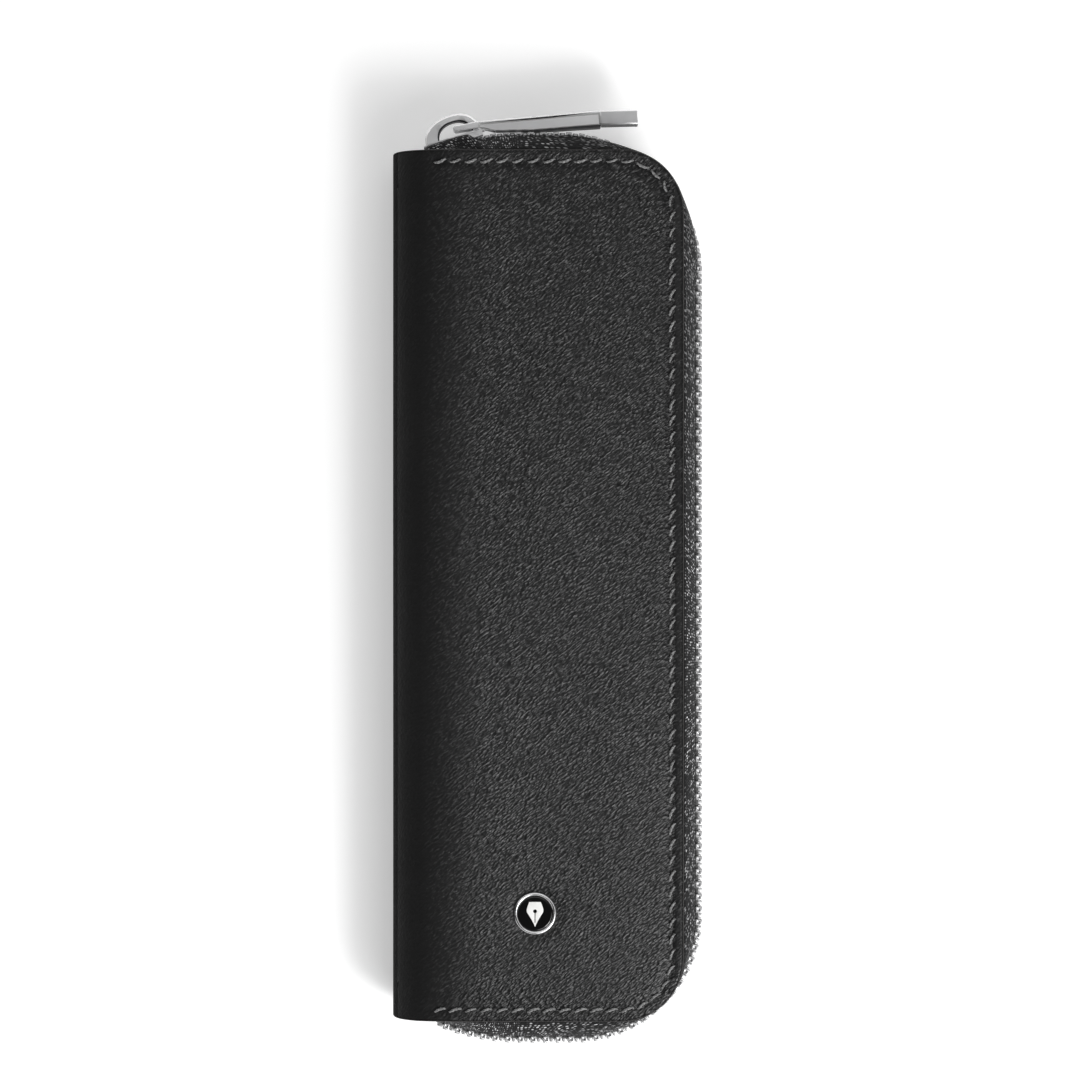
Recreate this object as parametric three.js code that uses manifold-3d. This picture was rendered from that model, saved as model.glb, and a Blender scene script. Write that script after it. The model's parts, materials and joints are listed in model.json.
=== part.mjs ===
import * as THREE from "three";
import { mergeVertices } from "three/addons/utils/BufferGeometryUtils.js";
import Module from "manifold-3d";

// A slim leather pen case that closes with a zip round three sides. Millimetres, +Z up.
// It lies on its back cover: the origin is the middle of the back cover's underside, +X runs from
// the spine to the zip, +Y towards the end where the slider rests when the case is shut.

// ---- Driving dimensions ----

const CASE_LENGTH = 165;
const SPINE_X = -28.2; // outer face of the spine
const EDGE_X = 27.2; // free edge of the leather covers
const THICKNESS = 22;
const SPINE_RADIUS = 9;
const CORNER_RADIUS = 12;

const LEATHER = 1.3;
const GLUE_GAP = 0.05;
const PADDING = 0.55;
const BOARD = 0.8;
const LINING = 0.6;
const HINGE_GAP = 0.2; // between the leather of the spine and of a cover

const TAPE = 0.5;
const TAPE_SEAM = 6.4; // how far the tape runs in under the leather
const STITCH_INSET = 2.2;
const GROOVE_HALF = 0.45; // the shallow groove that the edge stitching lies in
const GROOVE_DEPTH = 0.45;
const THREAD_HALF = 0.22;

const CHAIN_X = 29.9; // centreline of the zip chain beside the free edge
const CHAIN_TOP = 85.5;
const CHAIN_BOTTOM = -86.4;
const CHAIN_CORNER_TOP = 26; // the chain cuts the corners wider than the leather does
const CHAIN_CORNER_BOTTOM = 23;
const END_BEND = 40; // the chain's two ends bend in towards the spine on this radius
const END_BEND_X = -4;
const END_TURN = THREE.MathUtils.degToRad(30.5);

const TOOTH_PITCH = 2.4;
const TOOTH_LENGTH = 1.0; // along the chain
const TOOTH_HALF_HEIGHT = 1.1; // through the chain
const TOOTH_REACH = 0.8; // past the middle of the chain, between the other row's teeth
const TOOTH_BACK = 2.1; // from the middle of the chain to the back of a tooth
const ROW_SPREAD = 1.7; // how far the slider drives each row aside

const SLIDER_TURN = THREE.MathUtils.degToRad(18.5); // how far up the end bend the slider rests
const PLATE = 0.45;
const CHANNEL = 1.5; // half the gap between the slider's plates
const SLIT = 0.6; // half the gap between its flanges
const FLANGE = 0.7;
const NOSE_HALF = 4.6;
const TAIL_HALF = 3.1;
const SLIDER_NOSE = -5.2;
const SLIDER_TAIL = 5.2;
const FLANGE_TAIL = 6.4; // the top plate's flanges run on past its tail
const CROWN_WIDTH = 3.0;
const CROWN_MIDDLE = 1.35; // where the crown is highest
const CROWN_NOSE_REACH = 6.05; // from there to the end of each foot
const CROWN_TAIL_REACH = 4.95;
const CROWN_RISE = 4.38; // above the plate
const CROWN_EYE_REACH = 3.3; // the opening that the pull hangs in
const CROWN_EYE_RISE = 2.9;
const LOCK_PIN_X = 3.6;

const PULL_PIVOT = new THREE.Vector3(1.79, 3.48, 0); // in the slider's own frame
const PULL_TILT = THREE.MathUtils.degToRad(5); // from +X
const PULL_LENGTH = 35;
const PULL_BLOCK = 7.4; // the solid end of the pull
const PULL_WIDTH = 5.0;
const PULL_EYE = 7.2; // far end of the window that the crown passes through
const PULL_NOSE = 0.55; // radius of the rounded end inside the crown
const PULL_FACE = 0.93;
const PULL_BACK = -1.7;
const PULL_REBATE_X = 9; // from here to the block the sides are cut back under the face
const PULL_REBATE = 0.4;
const PULL_GROOVE = 0.28; // foot of the deeper groove that parts the sides from the face plate
const PULL_NOTCHES = [15.1, 18.4];
const PULL_NOTCH = 0.35;
const PULL_BLOCK_SLOPE = 0.47; // the block's end lies this much lower than its start

const EMBLEM_X = -0.94;
const EMBLEM_Y = -61.9;
const EMBLEM_RADIUS = 4.0;
const BEZEL_WIDTH = 0.6;
const STEM_RADIUS = 0.9;

const SLEEVE_LEFT = -17.8;
const SLEEVE_FOOT = 2.0;
const SLEEVE_HALF = 9.0; // half the outer width of one pen channel
const SLEEVE_RISE = 14.0;
const SLEEVE_LEATHER = 1.0;
const SLEEVE_BOTTOM = -72;
const SLEEVE_TOP = 23;

// ---- Values that follow ----

const MIDDLE_Z = THICKNESS / 2;
const END_Y = CASE_LENGTH / 2;
const ARC_X = SPINE_X + SPINE_RADIUS; // where the flat covers run into the spine
const PADDING_Z = LEATHER + GLUE_GAP;
const BOARD_Z = PADDING_Z + PADDING + GLUE_GAP * 2;
const LINING_Z = BOARD_Z + BOARD + GLUE_GAP;
const LINING_TOP = LINING_Z + LINING;
const SLIDER_HALF = CHANNEL + PLATE;

// ---- Solids ----

const wasm = await Module();
wasm.setup();

function toSolid(geometry) {
  const bare = geometry.index ? geometry.toNonIndexed() : geometry.clone();
  bare.deleteAttribute("normal");
  bare.deleteAttribute("uv");
  const merged = mergeVertices(bare, 1e-4);
  const vertProperties = merged.attributes.position.array;
  const triVerts = new Uint32Array(merged.index.array);
  return new wasm.Manifold(new wasm.Mesh({ numProp: 3, vertProperties, triVerts }));
}

function toGeometry(solid) {
  const mesh = solid.getMesh();
  const geometry = new THREE.BufferGeometry();
  geometry.setAttribute("position", new THREE.BufferAttribute(mesh.vertProperties, mesh.numProp));
  geometry.setIndex(new THREE.BufferAttribute(mesh.triVerts, 1));
  return geometry;
}

function cut(base, ...tools) {
  return toGeometry(tools.reduce((left, tool) => left.subtract(toSolid(tool)), toSolid(base)));
}

function join(...pieces) {
  return toGeometry(pieces.map(toSolid).reduce((sum, piece) => sum.add(piece)));
}

function overlap(one, other) {
  return toGeometry(toSolid(one).intersect(toSolid(other)));
}

// Skins a run of rings, each with a point for each corner of the section, and closes both ends.
function loft(rings, section) {
  const around = section.length;
  const triangles = [];
  for (let i = 0; i + 1 < rings.length; i++) {
    for (let j = 0; j < around; j++) {
      const here = i * around + j;
      const next = i * around + ((j + 1) % around);
      triangles.push([here, next, here + around], [next, next + around, here + around]);
    }
  }
  const last = (rings.length - 1) * around;
  const facesForward = THREE.ShapeUtils.area(section) > 0;
  for (const face of THREE.ShapeUtils.triangulateShape(section, [])) {
    const [a, b, c] = facesForward ? face : [face[2], face[1], face[0]];
    triangles.push([c, b, a], [last + a, last + b, last + c]);
  }
  const corners = rings.flat();
  const volume = triangles.reduce(
    (sum, [a, b, c]) => sum + corners[a].dot(corners[b].clone().cross(corners[c])),
    0,
  );
  const geometry = new THREE.BufferGeometry().setFromPoints(corners);
  geometry.setIndex(triangles.flatMap((t) => (volume > 0 ? t : [t[2], t[1], t[0]])));
  return geometry;
}

// A slab with the given outline seen from above.
function slab(outline, bottom, height) {
  const geometry = new THREE.ExtrudeGeometry(outline, { depth: height, bevelEnabled: false });
  return geometry.translate(0, 0, bottom);
}

// A bar along Y whose section is drawn in X and Z.
function barAlongY(section, from, to) {
  const geometry = new THREE.ExtrudeGeometry(section, { depth: to - from, bevelEnabled: false });
  return geometry.rotateX(Math.PI / 2).translate(0, to, 0);
}

// A piece of the slider or pull: its section is drawn from the side and it is as wide as it is told.
function across(section, width, bevel = 0) {
  const geometry = new THREE.ExtrudeGeometry(section, {
    depth: width - 2 * bevel,
    bevelEnabled: bevel > 0,
    bevelThickness: bevel,
    bevelSize: bevel,
    bevelOffset: -bevel,
    bevelSegments: 1,
  });
  return geometry.translate(0, 0, bevel - width / 2);
}

function box(x, y, z, low = [0, 0, 0]) {
  return new THREE.BoxGeometry(x, y, z).translate(low[0] + x / 2, low[1] + y / 2, low[2] + z / 2);
}

// The front cover is the back cover turned over in the case's middle plane.
function toFront(geometry) {
  const front = mergeVertices(geometry.clone().deleteAttribute("normal").deleteAttribute("uv"), 1e-4);
  front.scale(1, 1, -1).translate(0, 0, THICKNESS);
  const index = Array.from(front.index.array);
  for (let i = 0; i < index.length; i += 3) {
    [index[i + 1], index[i + 2]] = [index[i + 2], index[i + 1]];
  }
  return front.setIndex(index);
}

// ---- Outlines and routes, seen from above ----

// A cover's outline: square at the spine, round at its two free corners.
function coverOutline(inset, spineX) {
  const right = EDGE_X - inset;
  const end = END_Y - inset;
  const radius = Math.max(CORNER_RADIUS - inset, 1);
  const outline = new THREE.Shape();
  outline.moveTo(spineX, -end);
  outline.lineTo(right - radius, -end);
  outline.absarc(right - radius, radius - end, radius, -Math.PI / 2, 0, false);
  outline.lineTo(right, end - radius);
  outline.absarc(right - radius, end - radius, radius, 0, Math.PI / 2, false);
  outline.lineTo(spineX, end);
  return outline;
}

const arc = (x, y, radius, from, to) =>
  new THREE.EllipseCurve(x, y, radius, radius, from, to, true, 0);
const line = (x0, y0, x1, y1) =>
  new THREE.LineCurve(new THREE.Vector2(x0, y0), new THREE.Vector2(x1, y1));

// A cover's edge in seven stretches, from the slider's end round to the far end.
function edgeRoute(inset, startX) {
  const right = EDGE_X - inset;
  const end = END_Y - inset;
  const radius = CORNER_RADIUS - inset;
  const cornerX = right - radius;
  const cornerY = end - radius;
  return [
    line(startX, end, END_BEND_X, end),
    line(END_BEND_X, end, cornerX, end),
    arc(cornerX, cornerY, radius, Math.PI / 2, 0),
    line(right, cornerY, right, -cornerY),
    arc(cornerX, -cornerY, radius, 0, -Math.PI / 2),
    line(cornerX, -end, END_BEND_X, -end),
    line(END_BEND_X, -end, startX, -end),
  ];
}

// The zip chain in the same seven stretches, or a line beside it.
function chainRoute(outward) {
  const right = CHAIN_X + outward;
  const top = CHAIN_TOP + outward;
  const bottom = CHAIN_BOTTOM - outward;
  const bend = END_BEND + outward;
  const upperX = CHAIN_X - CHAIN_CORNER_TOP;
  const upperY = CHAIN_TOP - CHAIN_CORNER_TOP;
  const lowerX = CHAIN_X - CHAIN_CORNER_BOTTOM;
  const lowerY = CHAIN_BOTTOM + CHAIN_CORNER_BOTTOM;
  return [
    arc(END_BEND_X, CHAIN_TOP - END_BEND, bend, Math.PI / 2 + END_TURN, Math.PI / 2),
    line(END_BEND_X, top, upperX, top),
    arc(upperX, upperY, CHAIN_CORNER_TOP + outward, Math.PI / 2, 0),
    line(right, upperY, right, lowerY),
    arc(lowerX, lowerY, CHAIN_CORNER_BOTTOM + outward, 0, -Math.PI / 2),
    line(lowerX, bottom, END_BEND_X, bottom),
    arc(END_BEND_X, CHAIN_BOTTOM + END_BEND, bend, -Math.PI / 2, -Math.PI / 2 - END_TURN),
  ];
}

const ROUTE_STEPS = [8, 6, 7, 1, 7, 1, 6];

function stations(route) {
  const points = [route[0].getPoint(0)];
  route.forEach((curve, i) => {
    for (let j = 1; j <= ROUTE_STEPS[i]; j++) points.push(curve.getPoint(j / ROUTE_STEPS[i]));
  });
  return points;
}

const chainLine = new THREE.CurvePath();
chainRoute(0).forEach((curve) => chainLine.add(curve));
const chainLength = chainLine.getLength();
const sliderStation = END_BEND * (END_TURN - SLIDER_TURN);

// A point of the chain's frame: so far along it, outward from its middle and up from its middle plane.
function chainPoint(along, outward, up) {
  const t = THREE.MathUtils.clamp(along / chainLength, 0, 1);
  const point = chainLine.getPoint(t);
  const tangent = chainLine.getTangent(t);
  return new THREE.Vector3(
    point.x - tangent.y * outward,
    point.y + tangent.x * outward,
    MIDDLE_Z + up,
  );
}

// How far a row stands aside of the shut chain, ahead of the slider.
function rowSpread(along) {
  return ROW_SPREAD * THREE.MathUtils.smoothstep(sliderStation - along, -1.5, 4.5);
}

// ---- Leather ----

// The back cover's leather with its half of the spine's lower round.
function coverLeather() {
  const inner = SPINE_RADIUS - LEATHER;
  const split = -Math.PI * 0.75 + HINGE_GAP / 2 / SPINE_RADIUS;
  const section = new THREE.Shape();
  section.moveTo(EDGE_X, 0);
  section.lineTo(ARC_X, 0);
  section.absarc(ARC_X, SPINE_RADIUS, SPINE_RADIUS, -Math.PI / 2, split, true);
  section.absarc(ARC_X, SPINE_RADIUS, inner, split, -Math.PI / 2, false);
  section.lineTo(EDGE_X, LEATHER);
  const sheet = barAlongY(section, -END_Y, END_Y);
  const outline = slab(coverOutline(0, SPINE_X - 1), -1, THICKNESS);
  return cut(overlap(sheet, outline), stitchGroove());
}

function stitchGroove() {
  return edgeStrip(GROOVE_HALF, -1, GROOVE_DEPTH, ARC_X + 0.3);
}

// The seam's thread, sunk in its groove.
function edgeThread() {
  return edgeStrip(THREAD_HALF, 0.03, 0.33, ARC_X + 0.5);
}

// A strip along the seam, between two heights.
function edgeStrip(half, bottom, top, startX) {
  const outer = stations(edgeRoute(STITCH_INSET - half, startX));
  const inner = stations(edgeRoute(STITCH_INSET + half, startX));
  const rings = outer.map((point, i) => [
    new THREE.Vector3(point.x, point.y, bottom),
    new THREE.Vector3(point.x, point.y, top),
    new THREE.Vector3(inner[i].x, inner[i].y, top),
    new THREE.Vector3(inner[i].x, inner[i].y, bottom),
  ]);
  const section = [[1, 0], [1, 1], [0, 1], [0, 0]].map(([x, y]) => new THREE.Vector2(x, y));
  return loft(rings, section);
}

// The part of a round-cornered sheet between the two hinge lines of the spine.
function spineSheet(outside, thickness, length) {
  const inside = outside - thickness;
  const upperZ = THICKNESS - SPINE_RADIUS;
  const split = Math.PI * 0.75 + HINGE_GAP / 2 / SPINE_RADIUS;
  const section = new THREE.Shape();
  section.absarc(ARC_X, SPINE_RADIUS, outside, -split, -Math.PI, true);
  section.absarc(ARC_X, upperZ, outside, Math.PI, split, true);
  section.absarc(ARC_X, upperZ, inside, split, Math.PI, false);
  section.absarc(ARC_X, SPINE_RADIUS, inside, -Math.PI, -split, false);
  return barAlongY(section, -length / 2, length / 2);
}

// ---- Inside layers of a cover ----

const LAYER_SPINE_X = ARC_X + 0.6;

function padding() {
  return slab(coverOutline(TAPE_SEAM + 0.4, LAYER_SPINE_X), PADDING_Z, PADDING);
}

function board() {
  return slab(coverOutline(2, LAYER_SPINE_X), BOARD_Z, BOARD);
}

// The lining covers the board, steps down past its edge and follows the leather to the hinge line.
function lining() {
  const outside = SPINE_RADIUS - LEATHER - GLUE_GAP;
  const split = -Math.PI * 0.75 + HINGE_GAP / 2 / SPINE_RADIUS;
  const stepX = LAYER_SPINE_X - GLUE_GAP;
  const section = new THREE.Shape();
  section.moveTo(EDGE_X, LINING_Z);
  section.lineTo(stepX, LINING_Z);
  section.lineTo(stepX, PADDING_Z);
  section.lineTo(ARC_X, PADDING_Z);
  section.absarc(ARC_X, SPINE_RADIUS, outside, -Math.PI / 2, split, true);
  section.absarc(ARC_X, SPINE_RADIUS, outside - LINING, split, -Math.PI / 2, false);
  section.lineTo(stepX - LINING, PADDING_Z + LINING);
  section.lineTo(stepX - LINING, LINING_TOP);
  section.lineTo(EDGE_X, LINING_TOP);
  const sheet = barAlongY(section, -END_Y, END_Y);
  return overlap(sheet, slab(coverOutline(1.6, SPINE_X - 1), 0, THICKNESS));
}

// ---- Zip ----

// Where the tape's woven edge ends: beside the teeth, but clear of the slider along its travel.
function tapeEdge(point) {
  const besideSlider = NOSE_HALF + 0.3;
  const besideTeeth = TOOTH_BACK + 0.3;
  const upperEnd = point.y > 0 ? 1 - THREE.MathUtils.smoothstep(point.x, 4, 8) : 0;
  return THREE.MathUtils.lerp(besideTeeth, besideSlider, upperEnd);
}

// Half the zip's tape: sewn flat under the leather, it bows out past the edge and back to the chain.
function tape() {
  const seamTop = MIDDLE_Z - LEATHER - GLUE_GAP * 2;
  const tapeStart = LAYER_SPINE_X + 0.3;
  const corners = [
    { inset: TAPE_SEAM, toChain: 0, up: seamTop },
    { inset: 0.9, toChain: 0, up: seamTop },
    { inset: 0, toChain: 0.35, up: 8.7 },
    { inset: 0, toChain: 0.85, up: 6.8 },
    { inset: 0, toChain: 1, outward: TAPE / 2 },
    { inset: 0, toChain: 1, outward: -TAPE / 2 },
    { inset: TAPE, toChain: 0.85, outward: -TAPE / 2, up: 6.6 },
    { inset: TAPE, toChain: 0.35, outward: -TAPE / 2, up: 8.3 },
    { inset: 1.1, toChain: 0, up: seamTop - TAPE },
    { inset: TAPE_SEAM, toChain: 0, up: seamTop - TAPE },
  ];
  const middle = stations(chainRoute(0));
  const lines = corners.map(({ inset, toChain, outward = 0, up }) => {
    const edge = stations(edgeRoute(inset, tapeStart));
    return stations(chainRoute(outward)).map((point, i) => {
      const place = edge[i].clone().lerp(point, toChain);
      return new THREE.Vector3(place.x, place.y, MIDDLE_Z - (up ?? tapeEdge(middle[i])));
    });
  });
  const rings = middle.map((_, i) => lines.map((points) => points[i]));
  const section = corners.map(
    ({ inset, toChain, outward = 0, up = TOOTH_BACK }) =>
      new THREE.Vector2(outward - inset + 3 * toChain, up),
  );
  return loft(rings, section);
}

// One row of teeth on its cord. The two rows are half a pitch apart, so their teeth interlock.
function toothRow(side, phase) {
  const cord = { half: 0.4, low: 1.1, high: 1.9 };
  const tooth = { half: TOOTH_HALF_HEIGHT, low: -TOOTH_REACH, high: TOOTH_BACK };
  const ring = (along, { half, low, high }) => {
    const aside = rowSpread(along);
    return [[-half, low], [half, low], [half, high], [-half, high]].map(([outward, up]) =>
      chainPoint(along, outward, side * (up + aside)),
    );
  };
  const lead = 3.2; // the stops take this much of the chain at each end
  const shoulder = 0.1;
  const rings = [ring(lead, cord)];
  const teeth = Math.floor((chainLength - 2 * lead) / TOOTH_PITCH) - 1;
  for (let i = 0; i < teeth; i++) {
    const middle = lead + (i + 0.5 + phase) * TOOTH_PITCH;
    rings.push(ring(middle - TOOTH_LENGTH / 2 - shoulder, cord));
    rings.push(ring(middle - TOOTH_LENGTH / 2, tooth));
    rings.push(ring(middle + TOOTH_LENGTH / 2, tooth));
    rings.push(ring(middle + TOOTH_LENGTH / 2 + shoulder, cord));
  }
  const end = lead + (teeth + 0.5) * TOOTH_PITCH;
  rings.push(ring(end, cord));
  const section = [[-1, 0], [1, 0], [1, 1], [-1, 1]].map(([x, y]) => new THREE.Vector2(x, y));
  return loft(rings, section);
}

// A metal stop clamped on the chain between two stations.
function stop(from, to, outward, low, high) {
  const ring = (along) =>
    [[-outward, low], [outward, low], [outward, high], [-outward, high]].map(([v, up]) =>
      chainPoint(along, v, up),
    );
  const section = [[-1, 0], [1, 0], [1, 1], [-1, 1]].map(([x, y]) => new THREE.Vector2(x, y));
  return loft([ring(from), ring((from + to) / 2), ring(to)], section);
}

// ---- Slider, in its own frame: +X along the chain to its tail, +Y away from the case ----

// One side of the slider seen from outside, from the nose to the tail.
function sliderSide(path, half, sign) {
  path.lineTo(-4.4, sign * (NOSE_HALF - half));
  path.lineTo(-1.5, sign * (NOSE_HALF - half));
  const tail = sign * (TAIL_HALF - half);
  path.bezierCurveTo(0.6, sign * (NOSE_HALF - half), 0.4, tail, 2.4, tail);
  path.lineTo(4.6, tail);
}

function plateOutline() {
  const upper = new THREE.Path();
  upper.moveTo(SLIDER_NOSE, 3.8);
  sliderSide(upper, 0, 1);
  upper.lineTo(SLIDER_TAIL, 2.5);
  const side = upper.getPoints(6);
  const outline = new THREE.Shape(side);
  side.reverse().forEach((point) => outline.lineTo(point.x, -point.y));
  return outline;
}

function flange(sign, tail) {
  const outer = new THREE.Path();
  outer.moveTo(-4.4, sign * (NOSE_HALF - 0.02));
  sliderSide(outer, 0, sign);
  outer.lineTo(tail, sign * (TAIL_HALF - 0.2));
  const inner = new THREE.Path();
  inner.moveTo(-4.4, sign * (NOSE_HALF - FLANGE));
  sliderSide(inner, FLANGE, sign);
  inner.lineTo(tail, sign * (TAIL_HALF - FLANGE));
  return new THREE.Shape([...outer.getPoints(6), ...inner.getPoints(6).reverse()]);
}

// A plate of the slider lying between two heights of its own Y.
function sliderPlate(outline, from, to) {
  const plate = new THREE.ExtrudeGeometry(outline, { depth: to - from, bevelEnabled: false });
  return plate.rotateX(-Math.PI / 2).translate(0, from, 0);
}

function sliderBody() {
  const tongue = box(2, PLATE, CROWN_WIDTH + 0.2, [4.9, CHANNEL, -(CROWN_WIDTH + 0.2) / 2]);
  const diamond = new THREE.Shape();
  diamond.moveTo(SLIDER_NOSE, 0.6);
  diamond.lineTo(-4.5, 0.6);
  diamond.lineTo(-2.2, 0);
  diamond.lineTo(-4.5, -0.6);
  diamond.lineTo(SLIDER_NOSE, -0.6);
  const sides = [1, -1].flatMap((sign) => [
    sliderPlate(flange(sign, FLANGE_TAIL), SLIT, CHANNEL + 0.1),
    sliderPlate(flange(sign, SLIDER_TAIL), -CHANNEL - 0.1, -SLIT),
  ]);
  const body = join(
    sliderPlate(plateOutline(), CHANNEL, SLIDER_HALF),
    sliderPlate(plateOutline(), -SLIDER_HALF, -CHANNEL),
    sliderPlate(diamond, -CHANNEL - 0.1, CHANNEL + 0.1),
    tongue,
    ...sides,
  );
  return cut(body, box(1, 2, 1, [LOCK_PIN_X - 0.5, CHANNEL - 0.5, -0.5]));
}

// An arch over the plate, from its tail foot up and over to its nose foot.
function arch(tailReach, noseReach, rise) {
  const steps = 18;
  const fullness = 2 / 2.2;
  const points = [];
  for (let i = 0; i <= steps; i++) {
    const aside = Math.cos((Math.PI * i) / steps);
    const up = Math.abs(Math.sin((Math.PI * i) / steps));
    const reach = aside > 0 ? tailReach : -noseReach;
    const x = CROWN_MIDDLE + reach * Math.abs(aside) ** fullness;
    points.push(new THREE.Vector2(x, SLIDER_HALF + 0.02 + rise * up ** fullness));
  }
  return points;
}

// The crown bridges the top plate and carries the pull.
function sliderCrown() {
  const outer = arch(CROWN_TAIL_REACH, CROWN_NOSE_REACH, CROWN_RISE);
  const inner = arch(CROWN_EYE_REACH, CROWN_EYE_REACH, CROWN_EYE_RISE);
  return across(new THREE.Shape([...outer, ...inner.reverse()]), CROWN_WIDTH, 0.2);
}

// The leaf spring under the crown, with the pin that locks into the teeth.
function lockSpring() {
  const leaf = box(5.4, 0.25, 1.2, [-0.9, SLIDER_HALF + 0.05, -0.6]);
  const pin = box(0.5, 1.0, 0.5, [LOCK_PIN_X - 0.25, CHANNEL - 0.05, -0.25]);
  return join(leaf, pin);
}

// ---- Pull, in its own frame: +X along it from the pivot, +Y its outer face ----

// The pull's outline from the side: a rounded nose in the crown, a thin neck and a deeper bar.
function pullSide(bar) {
  const side = new THREE.Shape();
  side.absarc(0, 0, PULL_NOSE, Math.PI / 2, -Math.PI / 2, false);
  side.lineTo(4.4, -0.3);
  side.bezierCurveTo(6.2, -0.5, 6.8, -1.1, 8.3, -1.2);
  side.lineTo(14.8, -1.6);
  side.lineTo(bar + 0.1, PULL_BACK);
  side.lineTo(bar + 0.1, PULL_FACE);
  side.lineTo(3.6, PULL_FACE);
  side.lineTo(2.4, PULL_FACE - 0.26);
  return side;
}

// The solid end of the pull, a little wider and deeper than the bar, its end lower than its start.
function pullBlock(bar) {
  const face = PULL_FACE + 0.02;
  const back = PULL_BACK - 0.08;
  const block = new THREE.Shape();
  block.moveTo(bar, face);
  block.lineTo(PULL_LENGTH, face - PULL_BLOCK_SLOPE);
  block.lineTo(PULL_LENGTH, back - PULL_BLOCK_SLOPE);
  block.lineTo(bar, back);
  return across(block, PULL_WIDTH + 0.2);
}

function pullTab() {
  const bar = PULL_LENGTH - PULL_BLOCK;
  const half = PULL_WIDTH / 2;
  const eyeHalf = CROWN_WIDTH / 2 + 0.3;
  const eye = box(PULL_EYE - PULL_NOSE, 5, 2 * eyeHalf, [PULL_NOSE, -2.5, -eyeHalf]);
  const sideCut = (sign, depth, low, height) =>
    box(bar - PULL_REBATE_X, height, 1, [PULL_REBATE_X, low, sign > 0 ? half - depth : depth - half - 1]);
  const sideCuts = [-1, 1].flatMap((sign) => [
    sideCut(sign, PULL_REBATE, PULL_BACK - 0.5, PULL_GROOVE + 0.05 - PULL_BACK + 0.5),
    sideCut(sign, PULL_REBATE + 0.3, PULL_GROOVE, 0.15),
  ]);
  const notches = PULL_NOTCHES.map((x) =>
    box(0.8, 1, PULL_WIDTH + 1, [x - 0.4, PULL_FACE - PULL_NOTCH, -half - 0.5]),
  );
  return join(cut(across(pullSide(bar), PULL_WIDTH), eye, ...sideCuts, ...notches), pullBlock(bar));
}

// ---- Emblem on the front cover ----

function lathe(profile, segments = 32) {
  const points = profile.map(([radius, height]) => new THREE.Vector2(radius, height));
  return new THREE.LatheGeometry(points, segments).rotateX(Math.PI / 2);
}

function ring(inner, outer, low, high, chamfer = 0) {
  return lathe([
    [inner, low],
    [outer, low],
    [outer, high - chamfer],
    [outer - chamfer, high],
    [inner + chamfer, high],
    [inner, high - chamfer],
    [inner, low],
  ]);
}

function emblemDisc() {
  const radius = EMBLEM_RADIUS - BEZEL_WIDTH - 0.05;
  return lathe([
    [0, -LEATHER - 0.5],
    [STEM_RADIUS, -LEATHER - 0.5],
    [STEM_RADIUS, 0.02],
    [radius, 0.02],
    [radius, 0.32],
    [0, 0.32],
  ]);
}

// A nib seen from above, with its breather hole and slit.
function emblemNib() {
  const nib = new THREE.Shape();
  nib.moveTo(0, -2.5);
  nib.quadraticCurveTo(0.5, -1.2, 1.5, 0.2);
  nib.quadraticCurveTo(1.7, 0.9, 1.1, 2.2);
  nib.lineTo(-1.1, 2.2);
  nib.quadraticCurveTo(-1.7, 0.9, -1.5, 0.2);
  nib.quadraticCurveTo(-0.5, -1.2, 0, -2.5);
  const slit = new THREE.Path();
  slit.moveTo(-0.09, -1.5);
  slit.lineTo(0.09, -1.5);
  slit.lineTo(0.09, 0.1);
  slit.absarc(0, 0.4, 0.33, -Math.PI / 2 + 0.28, Math.PI * 1.5 - 0.28, false);
  slit.lineTo(-0.09, 0.1);
  nib.holes.push(slit);
  return new THREE.ExtrudeGeometry(nib, { depth: 0.14, bevelEnabled: false, curveSegments: 5 })
    .translate(0, 0, 0.34);
}

function stemHole(radius, low, high) {
  return lathe([[0, low], [radius, low], [radius, high], [0, high]], 24)
    .translate(EMBLEM_X, EMBLEM_Y, 0);
}

// ---- Pen sleeve ----

const SLEEVE_Z = LINING_TOP + GLUE_GAP;
const sleeveCentres = [0, 1].map(
  (i) => SLEEVE_LEFT + SLEEVE_FOOT + SLEEVE_HALF + i * (2 * SLEEVE_HALF + SLEEVE_FOOT),
);
const sleeveFeet = [0, 1, 2].map((i) => SLEEVE_LEFT + i * (2 * SLEEVE_HALF + SLEEVE_FOOT));

// One panel of soft leather, arched over two pens and sewn down between and beside them.
function penSleeve() {
  const hump = (centre, half, rise, low) => {
    const steps = 14;
    const points = [];
    for (let i = 0; i <= steps; i++) {
      const angle = Math.PI * (1 - i / steps);
      const x = Math.sign(Math.cos(angle)) * Math.abs(Math.cos(angle)) ** (2 / 2.6);
      points.push(new THREE.Vector2(centre + half * x, low + rise * Math.sin(angle) ** (2 / 2.6)));
    }
    return points;
  };
  const top = SLEEVE_Z + SLEEVE_LEATHER;
  const right = sleeveFeet[2] + SLEEVE_FOOT;
  const rise = SLEEVE_RISE - SLEEVE_LEATHER;
  const outer = sleeveCentres.flatMap((x) => hump(x, SLEEVE_HALF, rise, top));
  const inner = sleeveCentres.flatMap((x) => hump(x, SLEEVE_HALF - SLEEVE_LEATHER, rise, SLEEVE_Z));
  const corner = (x, z) => new THREE.Vector2(x, z);
  const section = new THREE.Shape([
    corner(SLEEVE_LEFT, top),
    ...outer,
    corner(right, top),
    corner(right, SLEEVE_Z),
    ...inner.reverse(),
    corner(SLEEVE_LEFT, SLEEVE_Z),
  ]);
  return barAlongY(section, SLEEVE_BOTTOM, SLEEVE_TOP);
}

function sleeveThread(foot) {
  const length = SLEEVE_TOP - SLEEVE_BOTTOM - 4;
  const low = [foot + SLEEVE_FOOT / 2 - 0.2, SLEEVE_BOTTOM + 2, SLEEVE_Z + SLEEVE_LEATHER + 0.02];
  return box(0.4, length, 0.3, low);
}

// ---- Materials and assembly ----

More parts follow.
